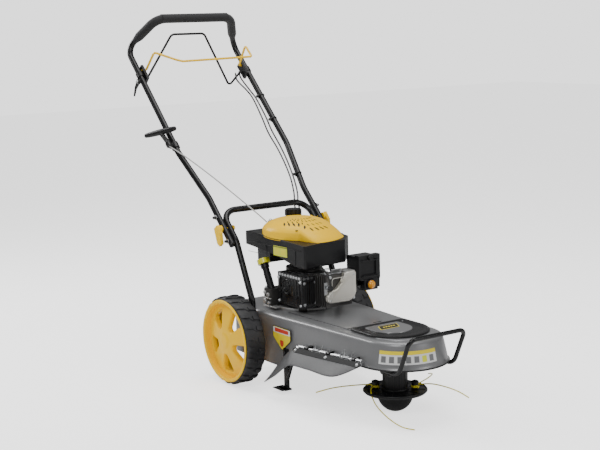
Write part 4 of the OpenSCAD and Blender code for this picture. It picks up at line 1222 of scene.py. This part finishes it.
def make_flap():
    inner = [(-100, -50, -118), (-62, -26, -60), (-25, -14, -22), (10, -11, -5), (110, -11, -4),
             (230, -11, -4), (346, -11, -3)]
    outer = [(-96, -66, -122), (-38, -64, -92), (5, -58, -62), (40, -54, -48), (130, -55, -48),
             (258, -56, -48), (351, -14, -6)]
    inner, outer = (smooth_route([hinge_mm(*p) for p in route], 8) for route in (inner, outer))
    bm = bmesh.new()
    across = 10
    rows = []
    for a, b in zip(inner, outer):
        row = []
        for k in range(across + 1):
            t = k / across
            p = a.lerp(b, t)
            p.z += 0.0035 * math.sin(math.pi * t) * min(1, (b - a).length / 0.05)
            row.append(bm.verts.new(p))
        rows.append(row)
    for one, two in zip(rows, rows[1:]):
        for k in range(across):
            bm.faces.new((one[k], one[k + 1], two[k + 1], two[k]))
    piece = add_object("deflector_sheet", bm, "flap_rubber", "side_deflector", smooth=60, slot="deck_paint")
    modifier = piece.modifiers.new("thickness", "SOLIDIFY")
    modifier.thickness, modifier.offset = 0.003, 0
    modifier = piece.modifiers.new("soft_edges", "BEVEL")
    modifier.width, modifier.segments, modifier.limit_method = 0.0009, 2, "ANGLE"
    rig.replaces(piece, "deflector_flap")

    # Clamping strip with its rivets
    down = (hinge_mm(0, -43, -43) - hinge_mm(0, 0, 0)).normalized()
    along = (hinge_mm(1000, 0, 0) - hinge_mm(0, 0, 0)).normalized()
    out = along.cross(down).normalized() * -1
    if out.z < 0:
        out = -out
    start = hinge_mm(14, -11, -3) + out * 0.0014
    outline = round_outline([(-0.012, 0.006), (0.0, -0.001), (0.326, -0.001), (0.334, 0.009), (0.326, 0.017),
                             (0.008, 0.017)], 0.006)
    bm = bmesh.new()
    prism(bm, outline, start, along, down, 0.003, out=out)
    add_object("deflector_strip", bm, "belt", "side_deflector", smooth=35, bevel=0.0007, slot="black_paint")
    bm = bmesh.new()
    for x in (0.008, 0.165, 0.318):
        lathe(bm, [(0.0056, 0), (0.0055, 0.0012), (0.004, 0.0027), (0.0018, 0.0034), (0, 0.0036)],
              start + along * x + down * 0.0085 + out * 0.003, out, 24)
    add_object("deflector_rivets", bm, "steel", "side_deflector", smooth=60)
    bm = bmesh.new()
    for x0, x1 in ((20, 52), (133, 162), (196, 232), (308, 329)):
        length = (x1 - x0) / 1000
        lathe(bm, [(0.0043, 0), (0.0064, 0), (0.0070, 0.0006), (0.0070, length - 0.0006), (0.0064, length),
                   (0.0043, length)], hinge_mm(x0, 0, 0), along, 32, closed=True)
        prism(bm, [(0, 0), (length, 0), (length, 0.010), (0, 0.010)], hinge_mm(x0, -5, -3), along, down,
              0.0016, out=out)
    add_object("deflector_knuckles", bm, "steel", "side_deflector", smooth=40, bevel=0.0003)
    # Torsion springs round the rod, with one leg on the deck and one on the flap side
    bm = bmesh.new()
    for x0 in (92, 242):
        coil = [hinge_mm(x0 + 30 * k / 96, 5.9 * math.cos(2 * math.pi * k / 12),
                         5.9 * math.sin(2 * math.pi * k / 12)) for k in range(97)]
        sweep(bm, coil, 0.0012, 8)
        sweep(bm, [hinge_mm(x0, 5.9, 0), hinge_mm(x0 - 2, 9, 9), hinge_mm(x0 - 4, 12, 22)], 0.0012, 8)
        sweep(bm, [hinge_mm(x0 + 30, 5.9, 0), hinge_mm(x0 + 33, 8, 8), hinge_mm(x0 + 35, 12, 18)], 0.0012, 8)
    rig.replaces(add_object("hinge_springs", bm, "steel", "chassis", smooth=60), "flap_springs")
    for node in ("hinge_brackets", "hinge_rod"):
        recast(node, 0.0007)


def make_stand():
    post = recast("rear_stand", 0.0012, 2)
    for v in post.data.vertices:
        v.co.z = min(v.co.z, 0.152)
    bm = bmesh.new()
    x = 205
    prism(bm, round_outline([(-0.030, 0), (0.030, 0), (0.026, 0.003), (-0.026, 0.003)], 0.001),
          axle_mm(x - 4, -166, 14), (1, 0, 0), (0, 0, 1), 0.026, out=(0, -1, 0))
    for z in (112, 138):
        bolt(bm, axle_mm(x + 13, -167, z), (0, -1, 0), 0.005, 0.004)
    add_object("stand_fittings", bm, "black_paint", "chassis", smooth=40, bevel=0.0004)


# ---------------------------------------------------------------- trimmer head
def make_head():
    recast("head_drum", 0.0015, 3)
    recast("head_disc", 0.0010, 2)
    bm = bmesh.new()
    up = (0, 0, 1)
    profile = [(0, 0.0), (0.008, 0.0)]
    count = 28
    ball_r, flat = 0.057, 0.0015
    low = math.asin(max(-1, -(ball_r - flat) / ball_r))
    for k in range(count + 1):
        a = low + (-low) * k / count
        profile.append((ball_r * math.cos(a), ball_r - flat + ball_r * math.sin(a)))
    profile = [p for p in profile if p[1] >= -1e-6]
    profile += [(0.0570, 0.0570), (0.0560, 0.0585), (0.0560, 0.0618), (0, 0.0618)]
    lathe(bm, profile, (0, 0, 0), up, 96)
    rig.replaces(add_object("mow_ball_turned", bm, "shroud_plastic", "trimmer_head", smooth=40), "mow_ball")
    # Ribs on the disc, collar on the drum, screws, and the line wound round its posts
    bm = bmesh.new()
    lathe(bm, [(0.0965, 0.0695), (0.0975, 0.0715), (0.0995, 0.0718), (0.1008, 0.0705), (0.1010, 0.0685)],
          (0, 0, 0), up, 120)
    for k in range(12):
        a = 2 * math.pi * (k + 0.5) / 12
        direction = Vector((math.cos(a), math.sin(a), 0))
        sweep(bm, [direction * 0.041 + Vector((0, 0, 0.0702)), direction * 0.094 + Vector((0, 0, 0.0702))],
              0.0011, 8)
        sweep(bm, [direction * 0.0392 + Vector((0, 0, 0.073)), direction * 0.0392 + Vector((0, 0, 0.139))],
              0.0013, 8)
    lathe(bm, [(0.0388, 0.0705), (0.0425, 0.0705), (0.0425, 0.0745), (0.0405, 0.0765), (0.0388, 0.0765)],
          (0, 0, 0), up, 96, closed=True)
    add_object("head_ribs", bm, "shroud_plastic", "trimmer_head", smooth=50)
    bm = bmesh.new()
    for angle in (-130, 50):
        post = Vector((0.062 * math.cos(math.radians(angle)), 0.062 * math.sin(math.radians(angle)), 0))
        coil = []
        for k in range(61):
            a = 2 * math.pi * k / 20
            coil.append(post + Vector((0.0129 * math.cos(a), 0.0129 * math.sin(a), 0.0745 + 0.0026 * k / 20)))
        sweep(bm, coil, 0.0012, 10)
    add_object("line_windings", bm, "line", "trimmer_head", smooth=60)
    bm = bmesh.new()
    for angle in (-130, 50):
        post = Vector((0.062 * math.cos(math.radians(angle)), 0.062 * math.sin(math.radians(angle)), 0.092))
        lathe(bm, [(0.0118, 0), (0.0125, 0.001), (0.0125, 0.0028), (0.0105, 0.004), (0, 0.0042)], post, up,
              32)
        bolt(bm, post + Vector((0, 0, 0.0042)), up, 0.004, 0.003, washer=False)
    add_object("post_caps", bm, "shroud_plastic", "trimmer_head", smooth=40)
    for node in ("spindle_shaft", "spindle_pulley", "spindle_housing", "engine_pulley", "idler_arm",
                 "drive_belt"):
        recast(node, 0.0006)


make_deck()
make_belt_cover()
make_labels()
make_bumper()
make_flap()
make_stand()
make_head()
for plain_node in ("axle", "axle_brackets", "chassis_bolts", "bushes_left", "bushes_right", "cam_levers",
                   "bail_housings",
                   "rope_guide", "throttle_lever"):
    recast(plain_node, 0.0009)


# ---------------------------------------------------------------- engine
DOME_CENTRE = (60, 0)


def dome_height(r):
    """Height of the dome's skin above the shroud at a fraction r of its radius."""
    return 511 + 48 * math.sqrt(max(0.0, 1 - (r * 0.985) ** 2.4))


def make_dome():
    """Yellow recoil cover: a smooth dome with rows of lens-shaped slots, an apron and a foot line. The slots and the
    gap round its foot are dark pieces: painted shade.
    """
    count, steps = 160, 34
    fill_x, fill_y = -46, 56

    def skin(a, r):
        c, s = math.cos(a), math.sin(a)
        x, y = c * r * 120, s * r * 120
        z = dome_height(r)
        # A flatter, longer front that slopes to the shroud's front edge
        turn = math.degrees((a + math.pi) % (2 * math.pi) - math.pi)
        near, far = (max(0.0, min(1.0, t)) for t in ((turn + 34) / 26, (64 - turn) / 28))
        wide = near * near * (3 - 2 * near) * far * far * (3 - 2 * far)
        front = wide * max(0.0, (r - 0.42) / 0.58) ** 1.25
        x += 47 * front * c
        y += 47 * front * s
        z -= 30 * front
        # A scallop round the filler neck
        d = math.hypot(DOME_CENTRE[0] + x - fill_x, DOME_CENTRE[1] + y - fill_y)
        if d < 40:
            z = min(z, 512 + max(0.0, (d - 30)) * 2.2)
        return DOME_CENTRE[0] + x, DOME_CENTRE[1] + y, z

    bm = bmesh.new()
    rings = [[bm.verts.new(axle_mm(*skin(0, 0)))]]
    for j in range(1, steps + 1):
        r = math.sin(j / steps * math.pi / 2) ** 0.9
        rings.append([bm.verts.new(axle_mm(*skin(2 * math.pi * i / count, r))) for i in range(count)])
    foot = [bm.verts.new(axle_mm(*(skin(2 * math.pi * i / count,
                                        1)[:2] + (499.0 - 0.055 * skin(2 * math.pi * i / count, 1)[0],
                                                  )))) for i in range(count)]
    rings.append(foot)
    for i in range(count):
        bm.faces.new((rings[0][0], rings[1][i], rings[1][(i + 1) % count]))
    bridge(bm, rings[1:])
    piece = add_object("recoil_dome", bm, "yellow_plastic", "chassis", smooth=50)
    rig.replaces(piece, "recoil_cover")

    def slot_at(bm, a, r, length, width, lean, lift=0.35):
        x, y, z = skin(a, r)
        p = Vector(axle_mm(x, y, z))
        du = Vector(axle_mm(*skin(a + 0.02, r))) - p
        dr = Vector(axle_mm(*skin(a, r + 0.01))) - p
        normal = du.cross(dr).normalized()
        if normal.z < 0:
            normal = -normal
        du.normalize()
        dv = normal.cross(du).normalized()
        if dv.dot(dr) < 0:
            dv = -dv
        along = (dv * math.cos(lean) + du * math.sin(lean)).normalized()
        across = normal.cross(along).normalized()
        loop, top = [], []
        for k in range(20):
            t = 2 * math.pi * k / 20
            q = p + along * (length / 2 * math.cos(t)) + across * (width / 2 * math.sin(t) * (0.6 + 0.4 * abs(math.sin(t))))
            loop.append(bm.verts.new(q + normal * lift / 1000 - normal * 0.0012))
            top.append(bm.verts.new(q + normal * lift / 1000))
        bm.faces.new(top)
        for k in range(20):
            j = (k + 1) % 20
            bm.faces.new((loop[k], loop[j], top[j], top[k]))

    # Dark lenses on the skin: painted shade in the slots
    bm = bmesh.new()
    for k in range(9):
        slot_at(bm, math.radians(-62 + k * 10.5), 0.76, 0.022 - abs(k - 3) * 0.0006, 0.0062, 0.45, 0.5)
    for row, (r, length) in enumerate(((0.64, 0.014), (0.52, 0.012), (0.41, 0.010))):
        for k in range(8):
            slot_at(bm, math.radians(-58 + k * 12.0 + row * 3), r, length, 0.0036, 0.45, 0.4)
    add_object("recoil_dome_slots", bm, "dark_recess", "chassis", smooth=30)
    bm = bmesh.new()
    for a in (-150, -35, 40, 100, 172):
        x, y, z = skin(math.radians(a), 0.965)
        lathe(bm, [(0.0042, 0), (0.0042, 0.0016), (0.0034, 0.0024), (0, 0.0024)], axle_mm(x, y, z + 0.2),
              (0, 0, 1), 20)
    add_object("recoil_dome_screws", bm, "shroud_plastic", "chassis", smooth=40, bevel=0.0003)
    # Dark tube round the dome's foot: a painted shadow line in the seam
    bm = bmesh.new()
    seat = [Vector(axle_mm(*(skin(2 * math.pi * i / 120,
                                  0.995)[:2] + (503.0 - 0.061 * skin(2 * math.pi * i / 120, 0.995)[0],
                                                )))) for i in range(120)]
    sweep(bm, seat + seat[:1], 0.0016, 8, caps=False)
    add_object("recoil_dome_gap", bm, "dark_recess", "chassis", smooth=60)
    bm = bmesh.new()
    lathe(bm, [(0.004, 0), (0.0085, 0), (0.0085, 0.004), (0.006, 0.0065), (0.004, 0.0065)],
          axle_mm(-38, -46, 536), (-0.55, -0.35, 0.75), 32, closed=True)
    add_object("rope_eyelet", bm, "steel", "chassis", smooth=50)


def make_engine_details():
    for node, width in (("blower_housing", 0.0022), ("fuel_tank", 0.004), ("muffler_guard", 0.0009),
                        ("muffler", 0.002),
                        ("air_filter_box", 0.0018), ("air_filter_cover", 0.0022), ("valve_cover", 0.0022),
                        ("carburettor", 0.0012),
                        ("oil_tube", 0.001), ("dipstick", 0.0007), ("fuel_cap", 0.0008),
                        ("primer_bulb", 0.0006),
                        ("crankshaft", 0.0005), ("flywheel", 0.0006), ("recoil_pulley", 0.0004)):
        recast(node, width, 2)
    # Ridge and moulded ribs on the shroud
    bm = bmesh.new()
    along, out = Vector((0.997, 0.0783, 0)), Vector((0.0783, -0.997, 0))
    start = Vector(axle_mm(-76, -121.4, 470))
    for x0, x1, z0, z1 in ((0.004, 0.300, 0.0, 0.0022), (0.010, 0.120, -0.034, -0.0325),
                           (0.112, 0.115, -0.050, -0.002), (0.268, 0.271, -0.052, -0.002)):
        prism(bm, [(x0, z0), (x1, z0), (x1, z1), (x0, z1)], start, along, (0, 0, 1), 0.0018, out=out)
    add_object("shroud_ribs", bm, "shroud_plastic", "chassis", bevel=0.0006)
    # Ribs down the oil tube
    tube = Vector((math.sin(math.radians(-27)), 0, math.cos(math.radians(-27))))
    base = Vector(axle_mm(55, -108, 318))
    bm = bmesh.new()
    for k in range(6):
        a = 2 * math.pi * k / 6 + 0.3
        side = Vector((math.cos(a), math.sin(a), 0))
        side = (side - tube * side.dot(tube)).normalized() * 0.0118
        sweep(bm, [base + side + tube * 0.006, base + side + tube * 0.058], 0.0016, 8)
    add_object("oil_tube_ribs", bm, "shroud_plastic", "chassis", smooth=60)
    # Slots, ring and screws on the muffler guard; cells along its top edge. The slots are dark plates: painted shade
    # in the openings.
    bm = bmesh.new()
    for k in range(8):
        x = 96 + k * 16.0
        prism(bm, round_outline([(0, 0), (0.006, 0), (0.006, 0.052), (0, 0.052)], 0.003),
              axle_mm(x, -102.3, 318), (1, 0, 0), (0, 0, 1), 0.0004, out=(0, -1, 0))
    for k in range(7):
        prism(bm, round_outline([(0, 0), (0.005, 0), (0.005, 0.066), (0, 0.066)], 0.0025),
              axle_mm(230.35, -96 + k * 8.2, 296), (0, 1, 0), (0, 0, 1), 0.0004, out=(1, 0, 0))
    add_object("guard_slots", bm, "dark_recess", "chassis", smooth=30)
    bm = bmesh.new()
    for k in range(8):
        prism(bm, round_outline([(0, 0), (0.012, 0), (0.012, 0.008), (0, 0.008)], 0.002),
              axle_mm(94 + k * 16.5, -102.35, 374), (1, 0, 0), (0, 0, 1), 0.0006, out=(0, -1, 0))
    for k in range(4):
        prism(bm, round_outline([(0, 0), (0.011, 0), (0.011, 0.008), (0, 0.008)], 0.002),
              axle_mm(230.4, -98 + k * 15, 374), (0, 1, 0), (0, 0, 1), 0.0006, out=(1, 0, 0))
    add_object("guard_edge_cells", bm, "steel", "chassis", smooth=30)
    bm = bmesh.new()
    lathe(bm, [(0.021, 0), (0.0215, 0.0016), (0.024, 0.0028), (0.0265, 0.0016), (0.027, 0)],
          axle_mm(138, -102, 340), (0, -1, 0), 64)
    lathe(bm, [(0, 0.0006), (0.012, 0.0006), (0.0135, 0.0026), (0.0145, 0.0026), (0.016, 0.0)],
          axle_mm(138, -102, 340), (0, -1, 0), 64)
    add_object("guard_ring", bm, "black_paint", "chassis", smooth=50)
    bm = bmesh.new()
    for x, z in ((92, 286), (92, 366), (222, 286), (222, 366)):
        bolt(bm, axle_mm(x, -102, z), (0, -1, 0), 0.0045, 0.0035)
    for z in (290, 362):
        bolt(bm, axle_mm(230, -92, z), (1, 0, 0), 0.004, 0.0035)
        bolt(bm, axle_mm(230, -48, z), (1, 0, 0), 0.004, 0.0035)
    add_object("guard_fittings", bm, "steel", "chassis", smooth=40, bevel=0.0003)


def make_valve_cover():
    """Raised rim, screws and a plain boss on the valve cover, on its face."""
    low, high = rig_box("valve_cover")
    front = high.x
    cy = (low.y + high.y) / 2
    bm = bmesh.new()
    for y, z in ((low.y + 0.010, low.z + 0.010), (high.y - 0.010, low.z + 0.010),
                 (low.y + 0.010, high.z - 0.012), (high.y - 0.010, high.z - 0.012)):
        bolt(bm, (front - 0.0035, y, z), (1, 0, 0), 0.0042, 0.0035)
    add_object("valve_cover_screws", bm, "steel", "chassis", smooth=40, bevel=0.0003)
    bm = bmesh.new()
    rim = round_outline([(low.y + 0.016, low.z + 0.012), (high.y - 0.016, low.z + 0.012),
                         (high.y - 0.016, high.z - 0.016), (low.y + 0.016, high.z - 0.016)], 0.012)
    loop = [Vector((front - 0.0004, y, z)) for y, z in rim]
    sweep(bm, loop + loop[:1], 0.0011, 8, caps=False)
    lathe(bm, [(0, 0.0008), (0.0065, 0.0008), (0.0078, 0.0)], (front - 0.0005, cy, high.z - 0.028), (1, 0, 0),
          40)
    add_object("valve_cover_rim", bm, "cover_alloy", "chassis", smooth=60)


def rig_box(node):
    points = [NODES[node].matrix_world @ v.co for v in NODES[node].data.vertices]
    return (Vector([min(p[i] for p in points) for i in range(3)]),
            Vector([max(p[i] for p in points) for i in range(3)]))


def make_castings():
    """The engine casting with rounded edges, and the lumps, studs and links round it."""
    # The engine block takes the near-black alloy: painted shade where it sits in shadow between the guard and the
    # valve cover
    recast("engine_block", 0.0012, 2, material="block_alloy")
    bm = bmesh.new()
    for k in range(6):
        a = math.radians(-100 + k * 24)
        bolt(bm, axle_mm(ENGINE_X + 62 * math.cos(a), 66 * math.sin(a), 268), (0, 0, 1), 0.0055, 0.006)
    for x, y in ((44, -122), (74, -52), (43, -50)):
        bolt(bm, axle_mm(x, y, 324), (0, 0, 1), 0.0048, 0.005)
    add_object("engine_bolts", bm, "steel", "chassis", smooth=40, bevel=0.0004)
    bm = bmesh.new()
    for x, y, z, r, h in ((47, -131, 280, 9, 8), (66, -131, 304, 7, 7), (45, -131, 310, 6, 6),
                          (72, -131, 276, 6, 8)):
        lathe(bm, [(r / 1000, -0.004), (r / 1000, h / 1000 * 0.8), (r * 0.75 / 1000, h / 1000),
                   (0, h / 1000)], axle_mm(x, y + 3, z), (0, -1, 0), 28)
    add_box(bm, axle_mm(36, -132, 290), axle_mm(82, -127, 294))
    add_box(bm, axle_mm(38, -134, 263.8), axle_mm(112, -108, 268))
    add_object("engine_base_lumps", bm, "engine_alloy", "chassis", smooth=40, bevel=0.0016, segments=3)
    # Throttle link, spring and governor arm between the shroud and the carburettor
    low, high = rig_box("carburettor")
    y0 = low.y
    bm = bmesh.new()
    path = [Vector((high.x + 0.002, y0 + 0.004, high.z - 0.006)),
            Vector((high.x + 0.020, y0 - 0.004, high.z + 0.004)),
            Vector((high.x + 0.022, y0 - 0.030, high.z + 0.002)),
            Vector((high.x + 0.006, y0 - 0.044, high.z - 0.002))]
    sweep(bm, smooth_route(path, 10), 0.0012, 10)
    start = Vector((low.x + 0.006, y0 - 0.004, high.z + 0.004))
    coil = [start + Vector((0.0032 * math.cos(2 * math.pi * k / 12), -0.030 * k / 120,
                            0.0032 * math.sin(2 * math.pi * k / 12))) for k in range(121)]
    sweep(bm, coil, 0.0006, 6)
    bolt(bm, (high.x, (low.y + high.y) / 2, low.z + 0.012), (1, 0, 0), 0.005, 0.005)
    lathe(bm, [(0.010, 0), (0.010, 0.006), (0.008, 0.008), (0, 0.008)],
          ((low.x + high.x) / 2, (low.y + high.y) / 2, low.z), (0, 0, -1), 32)
    add_object("carburettor_links", bm, "steel", "chassis", smooth=60)
    bm = bmesh.new()
    low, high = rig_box("air_filter_cover")
    for z in (low.z + 0.012, high.z - 0.020):
        add_box(bm, (high.x - 0.0004, low.y + 0.010, z), (high.x + 0.0016, high.y - 0.010, z + 0.003))
    lathe(bm, [(0.0085, -0.001), (0.0085, 0.004), (0.007, 0.006), (0, 0.006)],
          (high.x - 0.001, (low.y + high.y) / 2, high.z - 0.010), (1, 0, 0), 24)
    add_object("air_cleaner_trim", bm, "shroud_plastic", "air_cleaner_lid", smooth=40, bevel=0.0004)
    # Ridged fuel cap
    low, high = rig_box("fuel_cap")
    cx, cy, r = (low.x + high.x) / 2, (low.y + high.y) / 2, (high.x - low.x) / 2
    bm = bmesh.new()
    for k in range(30):
        a = 2 * math.pi * k / 30
        d = Vector((math.cos(a), math.sin(a), 0)) * (r - 0.0006)
        sweep(bm, [Vector((cx, cy, low.z + 0.004)) + d, Vector((cx, cy, high.z - 0.003)) + d], 0.0011, 8)
    add_object("fuel_cap_ribs", bm, "shroud_plastic", "fuel_cap", smooth=60)


def make_plug_and_brackets():
    """Spark plug with its boot and lead, brackets beside the valve cover, and the engine's flange."""
    bm = bmesh.new()
    axis = Vector((0.94, -0.30, 0.16)).normalized()
    start = Vector(axle_mm(299, -44, 352))
    lathe(bm, [(0, 0), (0.0095, 0), (0.0095, 0.004), (0.0085, 0.005), (0.0085, 0.010), (0.005, 0.011),
               (0, 0.011)], start, axis, 6)
    add_box(bm, axle_mm(236, -34, 388), axle_mm(268, 34, 391))
    add_box(bm, axle_mm(262, -6, 391), axle_mm(266, 34, 404))
    add_box(bm, axle_mm(300, -62, 330), axle_mm(303, -50, 372))
    for y, z in ((-56, 336), (-56, 366)):
        bolt(bm, axle_mm(303, y, z), (1, 0, 0), 0.0042, 0.004)
    for y in (-22, 20):
        bolt(bm, axle_mm(252, y, 391), (0, 0, 1), 0.0042, 0.004)
    add_object("engine_brackets", bm, "steel", "chassis", smooth=40, bevel=0.0005)
    bm = bmesh.new()
    tip = start + axis * 0.010
    lathe(bm, [(0.0066, 0), (0.0075, 0.002), (0.0075, 0.012), (0.0085, 0.013), (0.0085, 0.018),
               (0.007, 0.020), (0, 0.020)], tip, axis, 24)
    lead = [tip + axis * 0.015, tip + Vector((0.012, -0.006, 0.022)), tip + Vector((-0.004, -0.004, 0.046)),
            tip + Vector((-0.052, 0.004, 0.066))]
    sweep(bm, smooth_route(lead, 10), 0.0033, 12)
    add_object("plug_boot", bm, "belt", "chassis", smooth=50)
    bm = bmesh.new()
    lathe(bm, [(0.064, 0.0), (0.1052, 0.0), (0.1056, 0.0015), (0.1056, 0.0070), (0.1046, 0.0084),
               (0.064, 0.0088)], axle_mm(ENGINE_X, 0, 256.4), (0, 0, 1), 120, closed=True)
    for k in range(4):
        a = math.radians(45 + 90 * k)
        bolt(bm, axle_mm(ENGINE_X + 92 * math.cos(a), 92 * math.sin(a), 265), (0, 0, 1), 0.006, 0.006)
    add_object("engine_flange", bm, "engine_alloy", "chassis", smooth=40)


make_plug_and_brackets()
make_dome()
make_engine_details()
make_valve_cover()
make_castings()


# ---------------------------------------------------------------- studio
def make_studio():
    world = bpy.data.worlds.new("studio")
    bpy.context.scene.world = world
    world.use_nodes = True
    tree = world.node_tree
    background = tree.nodes["Background"]
    background.inputs["Color"].default_value = (1, 1, 1, 1)
    background.inputs["Strength"].default_value = 0.30
    seen = tree.nodes.new("ShaderNodeBackground")
    seen.inputs["Color"].default_value = (1, 1, 1, 1)
    seen.inputs["Strength"].default_value = 1.9
    path = tree.nodes.new("ShaderNodeLightPath")
    blend = tree.nodes.new("ShaderNodeMixShader")
    tree.links.new(path.outputs["Is Camera Ray"], blend.inputs[0])
    tree.links.new(background.outputs[0], blend.inputs[1])
    tree.links.new(seen.outputs[0], blend.inputs[2])
    tree.links.new(blend.outputs[0], tree.nodes["World Output"].inputs["Surface"])
    bm = bmesh.new()
    size = 14
    verts = [bm.verts.new((x, y, 0)) for x, y in ((-size, -size), (size, -size), (size, size), (-size, size))]
    bm.faces.new(verts)
    mesh = bpy.data.meshes.new("floor")
    bm.to_mesh(mesh)
    bm.free()
    floor = bpy.data.objects.new("floor", mesh)
    bpy.context.scene.collection.objects.link(floor)
    mat, tree, shader = new_material("pale_floor")
    cloud = place_texture(tree, "Noise", 1.5)
    tree.links.new(mix(tree, cloud.outputs[0], (0.86, 0.86, 0.86), (0.89, 0.89, 0.89)),
                   shader.inputs["Base Color"])
    shader.inputs["Roughness"].default_value = 0.7
    shader.inputs["Emission Color"].default_value = (1, 1, 1, 1)
    path = tree.nodes.new("ShaderNodeLightPath")
    tree.links.new(span(tree, path.outputs["Is Camera Ray"], 0.0, 1.5), shader.inputs["Emission Strength"])
    mesh.materials.append(mat)
    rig.stage(floor)
    for name, place, aim, size, power in (
            ("key", (1.8, -2.6, 3.0), (-0.3, 0, 0.4), 1.6, 60),
            ("fill", (3.0, 1.2, 1.8), (0, 0, 0.4), 1.4, 30),
            ("top", (-0.6, 0.2, 3.4), (-0.4, 0, 0.3), 2.6, 75),
            ("rim", (-3.0, -1.4, 2.2), (-0.5, 0, 0.5), 1.2, 55)):
        light = bpy.data.lights.new(name, "AREA")
        light.shape, light.size, light.energy = "DISK", size, power
        obj = bpy.data.objects.new(name, light)
        bpy.context.scene.collection.objects.link(obj)
        obj.location = place
        obj.rotation_euler = (Vector(aim) - Vector(place)).to_track_quat("-Z", "Y").to_euler()


make_studio()
with open("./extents.json", "w") as size_file:
    json.dump({"cad": [list(v) for v in CAD_BOX], "visual": [list(v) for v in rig.bounds()]}, size_file)
